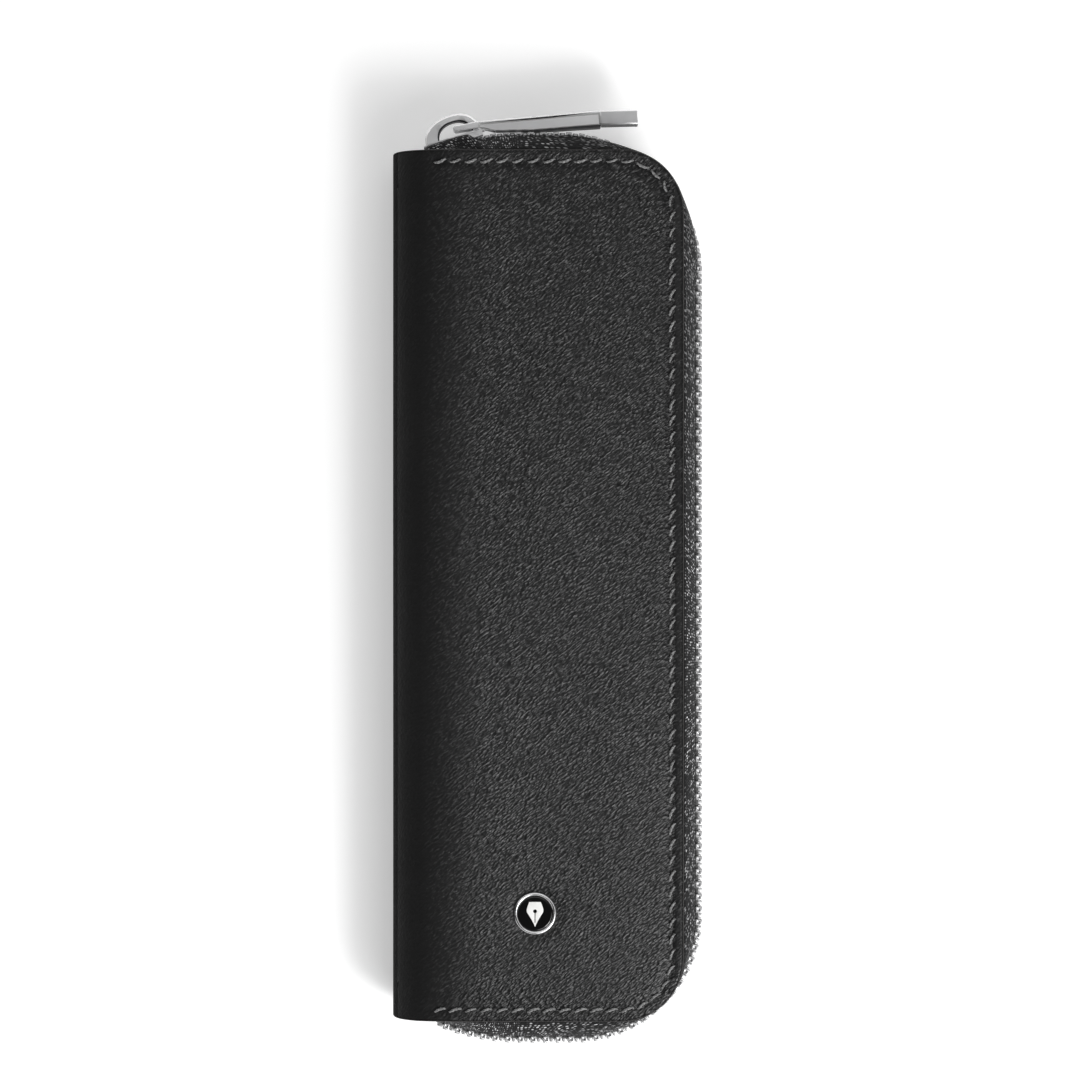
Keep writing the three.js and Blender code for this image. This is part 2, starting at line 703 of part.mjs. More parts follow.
const finish = (color, roughness, metalness = 0) => ({ color, roughness, metalness });
const BLACK_LEATHER = finish(0x1d1d1e, 0.55);
const LINING_CLOTH = finish(0x2b2b2e, 0.9);
const GREY_BOARD = finish(0x8a8378, 0.95);
const WHITE_FOAM = finish(0xd8d6d0, 0.95);
const BLACK_TAPE = finish(0x101011, 0.8);
const THREAD = finish(0x3c3c3e, 0.6);
const TOOTH_METAL = finish(0xb9bbbd, 0.35, 0.9);
const SATIN_METAL = finish(0xc9cacb, 0.3, 1);
const CHROME = finish(0xe2e3e4, 0.1, 1);
const ENAMEL = finish(0x060606, 0.08);
const WHITE_ENAMEL = finish(0xf2f2ee, 0.25);

function addPiece(parent, name, geometry, look) {
  const material = new THREE.MeshStandardMaterial({ name, ...look });
  const mesh = new THREE.Mesh(geometry, material);
  mesh.name = name;
  parent.add(mesh);
  return mesh;
}

const group = new THREE.Group();
const stemThroughLeather = toFront(stemHole(STEM_RADIUS + 0.3, -1, LEATHER + 1));
const stemThroughPadding = toFront(stemHole(EMBLEM_RADIUS - 0.4, 0, LEATHER + 3));

addPiece(group, "back_leather", coverLeather(), BLACK_LEATHER);
addPiece(group, "spine_leather", spineSheet(SPINE_RADIUS, LEATHER, CASE_LENGTH), BLACK_LEATHER);
addPiece(group, "front_leather", cut(toFront(coverLeather()), stemThroughLeather), BLACK_LEATHER);
addPiece(group, "back_edge_thread", edgeThread(), THREAD);
addPiece(group, "front_edge_thread", toFront(edgeThread()), THREAD);
addPiece(group, "back_padding", padding(), WHITE_FOAM);
addPiece(group, "front_padding", cut(toFront(padding()), stemThroughPadding), WHITE_FOAM);
addPiece(group, "back_board", board(), GREY_BOARD);
addPiece(group, "front_board", toFront(board()), GREY_BOARD);
addPiece(group, "back_lining", lining(), LINING_CLOTH);
addPiece(group, "front_lining", toFront(lining()), LINING_CLOTH);
const spineLining = spineSheet(SPINE_RADIUS - LEATHER - GLUE_GAP, LINING, CASE_LENGTH - 3.2);
addPiece(group, "spine_lining", spineLining, LINING_CLOTH);

addPiece(group, "zip_tape_back", tape(), BLACK_TAPE);
addPiece(group, "zip_tape_front", toFront(tape()), BLACK_TAPE);
addPiece(group, "zip_teeth_back", toothRow(-1, 0.5), TOOTH_METAL);
addPiece(group, "zip_teeth_front", toothRow(1, 0), TOOTH_METAL);
const stopLow = TOOTH_BACK - 1.4 + ROW_SPREAD;
const stopHigh = TOOTH_BACK + 0.2 + ROW_SPREAD;
addPiece(group, "top_stop_front", stop(0.3, 2.7, 0.9, stopLow, stopHigh), TOOTH_METAL);
addPiece(group, "top_stop_back", stop(0.3, 2.7, 0.9, -stopHigh, -stopLow), TOOTH_METAL);
const bottomStop = stop(chainLength - 2.9, chainLength - 0.2, 1.3, -2.3, 2.3);
addPiece(group, "bottom_stop", bottomStop, TOOTH_METAL);

const slider = new THREE.Group();
slider.position.set(
  END_BEND_X - END_BEND * Math.sin(SLIDER_TURN),
  CHAIN_TOP - END_BEND * (1 - Math.cos(SLIDER_TURN)),
  MIDDLE_Z,
);
slider.rotation.z = SLIDER_TURN;
group.add(slider);
addPiece(slider, "slider_body", sliderBody(), SATIN_METAL);
addPiece(slider, "slider_crown", sliderCrown(), SATIN_METAL);
addPiece(slider, "slider_lock_spring", lockSpring(), TOOTH_METAL);

const pull = new THREE.Group();
pull.position.copy(PULL_PIVOT);
pull.rotation.z = PULL_TILT - SLIDER_TURN;
slider.add(pull);
addPiece(pull, "pull_tab", pullTab(), SATIN_METAL);

const emblem = new THREE.Group();
emblem.position.set(EMBLEM_X, EMBLEM_Y, THICKNESS);
group.add(emblem);
const bezelInner = EMBLEM_RADIUS - BEZEL_WIDTH;
addPiece(emblem, "emblem_bezel", ring(bezelInner, EMBLEM_RADIUS, 0.02, 0.55, 0.15), CHROME);
addPiece(emblem, "emblem_disc", emblemDisc(), ENAMEL);
addPiece(emblem, "emblem_nib", emblemNib(), WHITE_ENAMEL);
const washerTop = -LEATHER - GLUE_GAP;
const washer = ring(STEM_RADIUS + 0.1, EMBLEM_RADIUS - 1, washerTop - 0.35, washerTop);
addPiece(emblem, "emblem_washer", washer, TOOTH_METAL);

addPiece(group, "pen_sleeve", penSleeve(), BLACK_LEATHER);
["left", "middle", "right"].forEach((place, i) => {
  addPiece(group, "sleeve_thread_" + place, sleeveThread(sleeveFeet[i]), THREAD);
});

export default group;
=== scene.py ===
import json
import math

import bmesh
import bpy
import numpy as np
from mathutils import Matrix, Vector


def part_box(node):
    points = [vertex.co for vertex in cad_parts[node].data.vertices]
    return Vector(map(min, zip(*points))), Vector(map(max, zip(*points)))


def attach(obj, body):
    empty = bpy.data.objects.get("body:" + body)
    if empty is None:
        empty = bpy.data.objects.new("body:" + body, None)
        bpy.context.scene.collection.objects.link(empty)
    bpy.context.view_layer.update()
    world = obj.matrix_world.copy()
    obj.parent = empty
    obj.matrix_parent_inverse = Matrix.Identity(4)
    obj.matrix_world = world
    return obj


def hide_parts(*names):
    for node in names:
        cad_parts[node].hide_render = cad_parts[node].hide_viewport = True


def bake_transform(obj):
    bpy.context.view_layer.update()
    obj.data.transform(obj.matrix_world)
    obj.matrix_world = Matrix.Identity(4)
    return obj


# A black leather pen case with a zip round three sides. Sizes are in millimetres until a mesh is made.
# The frame is the CAD model's: +X from the spine to the zip, +Y to the slider's end, +Z to the front.

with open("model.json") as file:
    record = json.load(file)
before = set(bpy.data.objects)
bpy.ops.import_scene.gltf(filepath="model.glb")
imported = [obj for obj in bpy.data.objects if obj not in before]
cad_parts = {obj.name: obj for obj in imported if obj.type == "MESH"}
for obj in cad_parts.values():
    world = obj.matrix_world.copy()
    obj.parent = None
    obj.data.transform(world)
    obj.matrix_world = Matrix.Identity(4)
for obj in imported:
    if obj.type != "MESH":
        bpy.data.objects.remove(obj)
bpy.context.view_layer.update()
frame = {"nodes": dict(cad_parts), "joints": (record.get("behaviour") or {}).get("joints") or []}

MM = 0.001


def corner_mm(node, which):
    return np.array(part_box(node)[which]) / MM


def joint(name):
    return next(j for j in frame["joints"] if j["name"] == name)


# ---- Sizes that come from the frame ----

COVER_HIGH = corner_mm("front_leather", 1)
EDGE_X, END_Y, TOP_Z = COVER_HIGH
SPINE_X = corner_mm("spine_leather", 0)[0]
MIDDLE_Z = TOP_Z / 2
TRAVEL = joint("slider_travel")
BEND_X, BEND_Y = (TRAVEL["pos_m"][i] / MM for i in (0, 1))
SLIDER_TURN = math.radians(TRAVEL["range_deg"][1])
PIVOT = np.array(joint("pull_swing")["pos_m"]) / MM
EMBLEM_LOW, EMBLEM_HIGH = corner_mm("emblem_bezel", 0), corner_mm("emblem_bezel", 1)
EMBLEM_X, EMBLEM_Y = (EMBLEM_LOW[:2] + EMBLEM_HIGH[:2]) / 2
EMBLEM_RADIUS = (EMBLEM_HIGH[0] - EMBLEM_LOW[0]) / 2
TEETH_HIGH = corner_mm("zip_teeth_front", 1)
TEETH_LOW = corner_mm("zip_teeth_front", 0)

# ---- The case's own sizes ----

SIDES = {1: "front", -1: "back"}
LEATHER = 1.3
CORNER = 12.0
ROUND_START_X = -13.0  # where the covers begin to fall away to the spine
ROUND_POWER = 2.5
STITCH_INSET = 2.2
STITCH_PITCH = 3.0
STITCH_START_X = -21.0
THREAD_RADIUS = 0.18
STITCH_LENGTH = 2.3
STITCH_SLANT = 23  # degrees to the seam
PAINT_REACH = 0.22  # the edge paint goes this far over the rim
WORN_REACH = 1.3  # the back of the spine is matt this far in from its outermost line
LINING = 0.5
LINING_INSET = 1.5  # the lining ends this far inside the leather's edge

TOOTH_HALF_HEIGHT = 1.1
TOOTH_PITCH = 2.4
CHAIN_X = TEETH_HIGH[0] - TOOTH_HALF_HEIGHT
CHAIN_TOP = TEETH_HIGH[1] - TOOTH_HALF_HEIGHT
CHAIN_BOTTOM = TEETH_LOW[1] + TOOTH_HALF_HEIGHT
CHAIN_CORNER_TOP = 26.0  # the chain cuts the corners wider than the leather does
CHAIN_CORNER_BOTTOM = 23.0
END_BEND = CHAIN_TOP - BEND_Y
END_TURN = math.radians(30.5)
ROW_SPREAD = 1.7
CHAIN_LEAD = 3.2  # the stops take this much at each end
CORD_RADIUS = 0.4
CORD_HEIGHT = 1.5
SLIDER_STATION = END_BEND * (END_TURN - SLIDER_TURN)
TAPE = 0.48
TAPE_START_X = -19.5
TAPE_SET_IN = 0.42  # the tape lies this much inside the middle of the teeth
TAPE_TOP_RISE = 0.3  # it stands out this much along the slider's end
TAPE_CORNER_RISE = 0.95  # this much round the corner beside it
TAPE_SWELL = 1.25  # and this much more beside the slider

# The slider and the pull are drawn in their own frames: X along the chain, Y outwards.
CHANNEL = 1.5
PLATE = 0.45
SLIDER_TOP = CHANNEL + PLATE
NOSE_HALF, TAIL_HALF, FLANGE, SLIT = 4.6, 3.1, 0.7, 0.6
SLIDER_NOSE, SLIDER_TAIL, FLANGE_TAIL = -5.2, 5.2, 6.4
CROWN_HALF = 1.5
CROWN_CHAMFER = 0.36
CROWN_MIDDLE = 1.35  # the top of the arch
CROWN_NOSEWARD, CROWN_TAILWARD, CROWN_RISE = 6.05, 4.95, 4.38
EYE_REACH, EYE_RISE = 3.3, 2.9
EYE_RIM = 0.25
ARCH_POWER = 2.2
SPRING = 0.25
PULL_TILT = math.radians(5)
PULL_LENGTH = 35.0
PULL_BLOCK = 7.4  # the solid end
PULL_WIDTH = 5.0
PULL_NOSE = 0.55
PULL_FACE = 0.93
PULL_BACK = -1.7
PULL_SLOT_HALF, PULL_SLOT_END = 1.8, 7.2  # the opening for the crown
PULL_LINE, PULL_LINE_WIDTH = 0.28, 0.15  # foot of the painted shadow line under the face plate
PULL_REBATE = 0.4  # the face plate stands out this much over the sides
PULL_REBATE_START = 4.6
PULL_NOTCHES = (15.1, 18.4)
PULL_BLOCK_SLOPE = 0.47
PROUD = 0.012  # a painted shadow line stands this much out of the metal

SLEEVE = 0.95
SLEEVE_FOOT = 2.0  # the flat strip at each seam
SLEEVE_POWER = 2.6
FLOOR_GLOW = 0.35
WALL_LIGHT = 1.2
CEILING_LIGHT = 0.04

# ---- Mesh helpers ----


def make_piece(name, points, faces, material, uvs=None, smooth=True):
    """A mesh object from points in millimetres. uvs is one pair for each point."""
    mesh = bpy.data.meshes.new(name)
    mesh.from_pydata([tuple(p) for p in np.asarray(points, float) * MM], [], faces)
    mesh.materials.append(material)
    for polygon in mesh.polygons:
        polygon.use_smooth = smooth
    if uvs is not None:
        layer = mesh.uv_layers.new(name="pattern")
        at = np.zeros(len(mesh.loops), np.int32)
        mesh.loops.foreach_get("vertex_index", at)
        layer.data.foreach_set("uv", np.asarray(uvs, np.float32)[at].ravel())
    mesh.validate()
    face_outward(mesh)
    piece = bpy.data.objects.new(name, mesh)
    bpy.context.scene.collection.objects.link(piece)
    return piece


def face_outward(mesh):
    work = bmesh.new()
    work.from_mesh(mesh)
    bmesh.ops.recalc_face_normals(work, faces=work.faces)
    work.to_mesh(mesh)
    work.free()


def ring_faces(rings, around):
    """Quads between rings of points, numbered ring by ring."""
    faces = []
    for i in range(rings - 1):
        low, high = i * around, (i + 1) * around
        for j in range(around):
            k = (j + 1) % around
            faces.append((low + j, low + k, high + k, high + j))
    return faces


def tube_faces(rings, around):
    """The same, with a face at each end."""
    last = (rings - 1) * around
    ends = [tuple(range(around)), tuple(range(last + around - 1, last - 1, -1))]
    return ring_faces(rings, around) + ends


def strip_faces(rings, around):
    """The same for a thin strip, whose ends are quads between its two sides."""
    faces = ring_faces(rings, around)
    last = (rings - 1) * around
    for j in range(around // 2 - 1):
        faces.append((j, j + 1, around - 2 - j, around - 1 - j))
        faces.append((last + j + 1, last + j, last + around - 1 - j, last + around - 2 - j))
    return faces


def run_along(points):
    """How far each point lies along its line."""
    steps = np.linalg.norm(np.diff(points, axis=0), axis=1)
    return np.concatenate([[0], np.cumsum(steps)])


def apply_modifiers(piece):
    graph = bpy.context.evaluated_depsgraph_get()
    mesh = bpy.data.meshes.new_from_object(piece.evaluated_get(graph))
    piece.modifiers.clear()
    piece.data = mesh


def sharpen(piece, degrees=40):
    """Smooth shading that breaks at real edges."""
    for polygon in piece.data.polygons:
        polygon.use_smooth = True
    piece.data.set_sharp_from_angle(angle=math.radians(degrees))


def bevel(piece, width, segments=3, degrees=30, edge=None, clamp=True):
    """Rounds the sharp edges; edge is the material of the rounded strips, if it is another one."""
    rounded = piece.modifiers.new("bevel", "BEVEL")
    if edge:
        piece.data.materials.append(edge)
        rounded.material = len(piece.data.materials) - 1
    rounded.width = width * MM
    rounded.segments = segments
    rounded.limit_method = "ANGLE"
    rounded.angle_limit = math.radians(degrees)
    rounded.use_clamp_overlap = clamp
    apply_modifiers(piece)
    sharpen(piece)


def combine(piece, others, operation, material_mode="INDEX"):
    for other in others:
        step = piece.modifiers.new("solid", "BOOLEAN")
        step.operation = operation
        step.solver = "EXACT"
        step.material_mode = material_mode
        step.object = other
    bpy.context.view_layer.update()
    apply_modifiers(piece)
    for other in others:
        bpy.data.objects.remove(other)


def carve(piece, *cutters, dress=False):
    """Cuts pieces away. With dress the cut faces take the cutters' material."""
    combine(piece, cutters, "DIFFERENCE", "TRANSFER" if dress else "INDEX")


def prism(name, outline, low, high, material, plane="xy"):
    """An outline pushed between two heights. plane says which two axes the outline is drawn in."""
    order = {"xy": (0, 1, 2), "xz": (0, 2, 1)}[plane]
    points = []
    for height in (low, high):
        for a, b in outline:
            point = [0, 0, 0]
            point[order[0]], point[order[1]], point[order[2]] = a, b, height
            points.append(point)
    count = len(outline)
    faces = [tuple(range(count)), tuple(range(2 * count - 1, count - 1, -1))]
    faces += [(i, (i + 1) % count, count + (i + 1) % count, count + i) for i in range(count)]
    return make_piece(name, points, faces, material, smooth=False)


def rectangle(left, low, right, high):
    return [(left, low), (right, low), (right, high), (left, high)]


def cutter(outline, low, high, plane="xy"):
    return prism("cutter", outline, low, high, METAL_PLAIN, plane)


def place_at(piece, origin, turn):
    """Moves a piece drawn in the slider's or the pull's own frame to its place."""
    matrix = Matrix.Translation(Vector(np.array(origin) * MM)) @ Matrix.Rotation(turn, 4, "Z")
    piece.data.transform(matrix)
    return piece


def turned(name, profile, material, steps=96):
    """A round piece about Z from a profile of (radius, height), closed at the axis or on itself."""
    points, rows = [], []
    for radius, height in profile:
        if radius < 1e-6:
            rows.append([len(points)] * steps)
            points.append((0, 0, height))
            continue
        rows.append(list(range(len(points), len(points) + steps)))
        for i in range(steps):
            angle = 2 * math.pi * i / steps
            points.append((radius * math.cos(angle), radius * math.sin(angle), height))
    faces = []
    for low, high in zip(rows, rows[1:]):
        for i in range(steps):
            k = (i + 1) % steps
            corners = dict.fromkeys((low[i], low[k], high[k], high[i]))
            faces.append(tuple(corners))
    return make_piece(name, points, faces, material)


def smooth_step(value, low, high):
    t = np.clip((np.asarray(value, float) - low) / (high - low), 0, 1)
    return t * t * (3 - 2 * t)


# ---- Materials ----


class Surface:
    """A material built from nodes. Inputs that vary are linked, and the rest are set on the shader."""

    def __init__(self, name, **settings):
        self.material = bpy.data.materials.new(name)
        self.material.use_nodes = True
        self.nodes = self.material.node_tree.nodes
        self.links = self.material.node_tree.links
        self.shader = self.nodes["Principled BSDF"]
        self.set(self.shader, settings)

    def put(self, socket, value):
        """Links the socket, or sets its value."""
        if isinstance(value, bpy.types.NodeSocket):
            self.links.new(value, socket)
        elif socket.type == "RGBA":
            socket.default_value = (*value, 1)
        else:
            socket.default_value = value

    def set(self, node, settings):
        """A key is a socket's name, with _ for each space, or its number after a _."""
        for key, value in settings.items():
            self.put(node.inputs[int(key[1:]) if key.startswith("_") else key.replace("_", " ")], value)

    def add(self, kind, attributes=None, **inputs):
        node = self.nodes.new(kind)
        for key, value in (attributes or {}).items():
            setattr(node, key, value)
        self.set(node, inputs)
        return node

    def math(self, operation, *values):
        inputs = {f"_{i}": v for i, v in enumerate(values)}
        return self.add("ShaderNodeMath", {"operation": operation}, **inputs).outputs[0]

    def split(self, vector):
        return self.add("ShaderNodeSeparateXYZ", Vector=vector).outputs

    def ramp(self, value, *stops):
        """A grey level that runs through the stops, each a place and a level."""
        node = self.add("ShaderNodeValToRGB", _0=value)
        for element, (position, level) in zip(node.color_ramp.elements, stops):
            element.position = position
            element.color = (level, level, level, 1)
        return node.outputs["Color"]

    def noise(self, vector, scale, detail=3.0, rough=0.55):
        settings = {"Scale": scale, "Detail": detail, "Roughness": rough}
        return self.add("ShaderNodeTexNoise", Vector=vector, **settings).outputs[0]

    def cells(self, vector, randomness=1.0):
        """The distance from each cell's middle, and a chance number for each cell."""
        node = self.add("ShaderNodeTexVoronoi", Vector=vector, Scale=1.0, Randomness=randomness)
        chance = self.add("ShaderNodeSeparateColor", _0=node.outputs["Color"])
        return node.outputs["Distance"], chance.outputs[0]

    def sized(self, vector, size, turn=0.0):
        """Coordinates that step by one over each size, with the first size along the direction turn."""
        settings = {"Vector": vector, "Scale": size, "Rotation": (0, 0, turn)}
        return self.add("ShaderNodeMapping", {"vector_type": "TEXTURE"}, **settings).outputs[0]

    def sized_mm(self, size, turn=0.0):
        """The same in the object's own space, with sizes in millimetres."""
        return self.sized(self.place(), tuple(v * MM for v in size), turn)

    def mix(self, factor, one, other):
        return self.add("ShaderNodeMix", {"data_type": "RGBA"}, _0=factor, _6=one, _7=other).outputs[2]

    def bump(self, height, distance, strength=1.0):
        settings = {"Height": height, "Strength": strength, "Distance": distance * MM}
        return self.add("ShaderNodeBump", **settings).outputs[0]

    def pattern(self):
        """Places in millimetres on the flat piece, so that the texture stays with it as it bends."""
        return self.add("ShaderNodeUVMap", {"uv_map": "pattern"}).outputs[0]

    def place(self):
        return self.add("ShaderNodeTexCoord").outputs["Object"]

    def shade(self, **inputs):
        self.set(self.shader, inputs)
        return self.material


def leather_material(name, depth=1.0, base=(0.0062, 0.0062, 0.0064), border=None, shine=0.24):
    """Fine calf: small pebbles and short folds drawn out one way, their tops painted lighter as glints.
    Beyond border, a place across the flat piece, the pressed rim of the long side is smoother.
    Towards the spine the leather is more matt, and its colour is painted darker as painted shade of the
    rounded spine."""
    s = Surface(name, Specular_IOR_Level=shine)
    flat = s.pattern()
    warp = s.add("ShaderNodeTexNoise", Vector=flat, Scale=0.5, Detail=2.0).outputs["Color"]
    bend = {"_0": warp, "_1": (0.45, 0.45, 0), "_2": flat}
    bent = s.add("ShaderNodeVectorMath", {"operation": "MULTIPLY_ADD"}, **bend).outputs[0]
    lean = math.radians(38)
    pebbles, luck = s.cells(s.sized(bent, (0.86, 0.36, 1), lean), 0.7)
    domes = s.math("MULTIPLY", pebbles, pebbles)
    folds = s.noise(s.sized(bent, (1.15, 0.34, 1), lean), 1.0, 2.0, 0.45)
    # Painted highlight: light dots on the pebble tops and light fold ridges stand in for the grain's glints.
    painted_glint_dots = s.ramp(pebbles, (0.1, 0.8), (0.34, 0.0))
    painted_glints = s.math("MULTIPLY", painted_glint_dots, s.ramp(luck, (0.25, 0.08), (1.0, 1.0)))
    painted_glints = s.math("MAXIMUM", painted_glints, s.ramp(folds, (0.54, 0.0), (0.74, 0.5)))
    height = s.math("MULTIPLY_ADD", folds, 0.15, s.math("MULTIPLY", domes, -1.0))
    stronger = s.ramp(s.noise(flat, 0.22, 3.0, 0.6), (0.3, 0.62), (0.7, 1.0))
    across = s.split(flat)[0]
    if border:
        past_side = s.math("GREATER_THAN", across, border)
        stronger = s.math("MULTIPLY", stronger, s.math("MULTIPLY_ADD", past_side, -0.6, 1.0))
    painted_glints = s.math("MULTIPLY", painted_glints, stronger)
    height = s.math("MULTIPLY", height, stronger)
    patchy = s.ramp(s.noise(flat, 0.05, 3.0, 0.5), (0.3, 0.27), (0.7, 0.35))
    reach = {"From_Min": -10.0, "From_Max": -23.0, "To_Min": 0.0, "To_Max": 1.0}
    to_spine = s.add("ShaderNodeMapRange", {"clamp": True}, Value=across, **reach).outputs[0]
    rough = s.math("MULTIPLY_ADD", to_spine, 0.45, patchy)
    # Painted highlight: the painted glints lighten the base colour.
    tint = s.mix(painted_glints, base, (0.2, 0.2, 0.201))
    # Painted shade: towards the spine the base colour falls to three tenths of itself.
    tint = s.mix(to_spine, tint, tuple(c * 0.3 for c in base))
    return s.shade(Base_Color=tint, Roughness=rough, Normal=s.bump(height, 0.17 * depth))


def edge_material():
    """Painted leather edge: smooth, very dark brown."""
    s = Surface("painted_edge", Specular_IOR_Level=0.25)
    streaks = s.noise(s.sized_mm((3.3, 3.3, 0.4)), 1.0, 3.0)
    color = s.mix(streaks, (0.005, 0.004, 0.0037), (0.009, 0.007, 0.0062))
    rough = s.math("ADD", 0.5, s.math("MULTIPLY", streaks, 0.2))
    return s.shade(Base_Color=color, Roughness=rough, Normal=s.bump(streaks, 0.03, 0.4))


def thread_material(name, low, high):
    """Waxed thread: fine fibres that catch the light."""
    s = Surface(name, Specular_IOR_Level=0.5, Sheen_Weight=0.25, Sheen_Roughness=0.4)
    fibres = s.noise(s.sized_mm((0.42, 0.2, 0.2), math.radians(30)), 1.0, 3.0, 0.7)
    color = s.mix(s.ramp(fibres, (0.36, 0.0), (0.66, 1.0)), (low,) * 3, (high,) * 3)
    return s.shade(Base_Color=color, Roughness=0.42, Normal=s.bump(fibres, 0.06, 0.8))


def tape_material():
    """Herringbone tape of shiny black yarn: each stitch of the weave is a short slanted dash, painted
    more or less light as the yarn's glints. The slant turns back again and again across the tape, and the
    glints fade to painted shade where the cloth comes out from under the leather."""
    s = Surface("zip_tape_weave", Specular_IOR_Level=0.12)
    at = s.split(s.pattern())
    slant = s.math("MULTIPLY_ADD", s.math("PINGPONG", at[1], 1.45), 0.1, at[0])
    slanted = s.add("ShaderNodeCombineXYZ", X=slant, Y=at[1]).outputs[0]
    dashes, chance = s.cells(s.sized(slanted, (0.5, 0.8, 1)), 0.38)
    shape = s.ramp(dashes, (0.2, 1.0), (0.4, 0.0))
    # Painted highlight: the brighter dashes are painted near white as glints of the shiny yarn.
    painted_yarn_glints = s.math("MULTIPLY", shape, s.ramp(chance, (0.35, 0.03), (0.95, 1.0)))
    # Painted shade: close to the leather the glints drop to a tenth, as the shadow of the leather's edge.
    painted_shade_fade = s.ramp(s.math("MULTIPLY", at[1], 0.1), (0.615, 0.1), (0.7, 1.0))
    painted_yarn_glints = s.math("MULTIPLY", painted_yarn_glints, painted_shade_fade)
    color = s.mix(painted_yarn_glints, (0.0035, 0.0035, 0.0038), (0.62, 0.62, 0.63))
    return s.shade(Base_Color=color, Roughness=0.7, Normal=s.bump(shape, 0.12, 0.6))


def cord_material():
    """The black beaded edge that the teeth are clamped on."""
    s = Surface("zip_cord_weave", Specular_IOR_Level=0.5, Sheen_Weight=0.2)
    twist = s.noise(s.sized_mm((0.38, 0.38, 0.38)), 1.0, 2.0, 0.7)
    color = s.mix(s.ramp(twist, (0.4, 0.0), (0.7, 1.0)), (0.006,) * 3, (0.09,) * 3)
    return s.shade(Base_Color=color, Roughness=0.5, Normal=s.bump(twist, 0.1, 0.9))


def metal_material(name, color, rough, scratches, mark=(2.8, 0.18, 0.18), **more):
    """Metal with fine marks of one size and a little unevenness. more holds dull, how much darker
    its clouds are, depth, the marks' depth, and metallic, below one where the metal scatters light."""
    dull, depth = more.get("dull", 0.0), more.get("depth", 0.012)
    s = Surface(name, Metallic=more.get("metallic", 1.0))
    lines = s.noise(s.sized_mm(mark), 1.0, 4.0, 0.6)
    cloud = s.noise(s.sized_mm((2.4, 2.4, 2.4)), 1.0, 3.0, 0.6)
    tint = s.mix(cloud, tuple(c * (0.9 - dull) for c in color), color)
    roughness = s.math("ADD", rough, s.math("MULTIPLY", lines, scratches))
    normal = s.bump(lines, depth, 0.6)
    return s.shade(Base_Color=tint, Roughness=roughness, Normal=normal)


def enamel_material(name, color, rough=0.06):
    """Hard glossy enamel with the faintest waviness."""
    s = Surface(name, Specular_IOR_Level=0.5)
    cloud = s.noise(s.sized_mm((4, 4, 4)), 1.0, 2.0)
    tint = s.mix(cloud, tuple(c * 0.85 for c in color), color)
    return s.shade(Base_Color=tint, Roughness=rough, Normal=s.bump(cloud, 0.01, 0.2))


def lining_material():
    """Dark lining cloth in a fine twill."""
    s = Surface("lining_twill", Specular_IOR_Level=0.4, Sheen_Weight=0.35, Sheen_Roughness=0.45)
    across, along, _ = s.split(s.pattern())
    step = 2 * math.pi / 0.55
    warp = s.math("SINE", s.math("MULTIPLY", s.math("ADD", across, along), step))
    weft = s.math("SINE", s.math("MULTIPLY", along, step * 1.4))
    weave = s.math("MULTIPLY_ADD", s.math("MULTIPLY_ADD", weft, 0.6, warp), 0.3, 0.5)
    slub = s.noise(s.sized(s.pattern(), (5, 0.6, 1)), 1.0, 4.0, 0.6)
    color = s.mix(s.math("MULTIPLY", weave, slub), (0.012, 0.012, 0.013), (0.062, 0.062, 0.066))
    return s.shade(Base_Color=color, Roughness=0.75, Normal=s.bump(weave, 0.07, 0.8))


def board_material():
    """Grey pressed fibre board."""
    s = Surface("fibre_board", Specular_IOR_Level=0.2)
    flecks = s.noise(s.sized_mm((1.1, 2, 1.1)), 1.0, 5.0, 0.7)
    color = s.mix(flecks, (0.2, 0.18, 0.15), (0.42, 0.39, 0.34))
    return s.shade(Base_Color=color, Roughness=0.9, Normal=s.bump(flecks, 0.05, 0.5))


def foam_material():
    """Thin off-white foam with open cells."""
    s = Surface("foam_sheet", Specular_IOR_Level=0.2)
    bubbles, _ = s.cells(s.sized_mm((0.65, 0.65, 0.65)))
    color = s.mix(bubbles, (0.62, 0.6, 0.55), (0.42, 0.4, 0.36))
    return s.shade(Base_Color=color, Roughness=0.9, Normal=s.bump(bubbles, 0.12, 0.8))


def floor_material():
    """A plain white light table."""
    s = Surface("studio_floor", Specular_IOR_Level=0.0)
    cloud = s.noise(s.place(), 3.0, 2.0)
    color = s.mix(cloud, (0.79, 0.79, 0.79), (0.81, 0.81, 0.81))
    glow = {"Emission_Color": (1, 1, 1), "Emission_Strength": FLOOR_GLOW}
    return s.shade(Base_Color=color, Roughness=1.0, **glow)


CALF = leather_material("grained_calf", border=EDGE_X - STITCH_INSET + 0.5)
SPINE_CALF = leather_material("worn_spine_calf", shine=0.06)
SLEEVE_CALF = leather_material("sleeve_calf", 0.7, (0.012, 0.012, 0.0125))
EDGE_PAINT = edge_material()
EDGE_THREAD = thread_material("edge_thread_fibres", 0.04, 0.3)
SLEEVE_THREAD = thread_material("sleeve_thread_fibres", 0.02, 0.08)
TAPE_WEAVE = tape_material()
CORD_WEAVE = cord_material()
ROUND_MARK = (0.5, 0.5, 0.5)
COARSE_MARK = (0.6, 0.6, 0.6)
TOOTH_METAL = metal_material(
    "tumbled_tooth_metal", (0.6, 0.6, 0.605), 0.34, 0.2, ROUND_MARK, dull=0.25, depth=0.05
)
SATIN_METAL = metal_material("satin_metal", (0.7, 0.7, 0.705), 0.34, 0.12, metallic=0.42)
BLASTED_METAL = metal_material(
    "blasted_end_metal", (0.5, 0.5, 0.505), 0.4, 0.15, COARSE_MARK, dull=0.12, metallic=0.42
)
# Painted shade: a near-black copy of the metal for faces that lie in shade.
PAINTED_SHADE_METAL = metal_material("painted_shade_metal", (0.07, 0.07, 0.072), 0.4, 0.1)
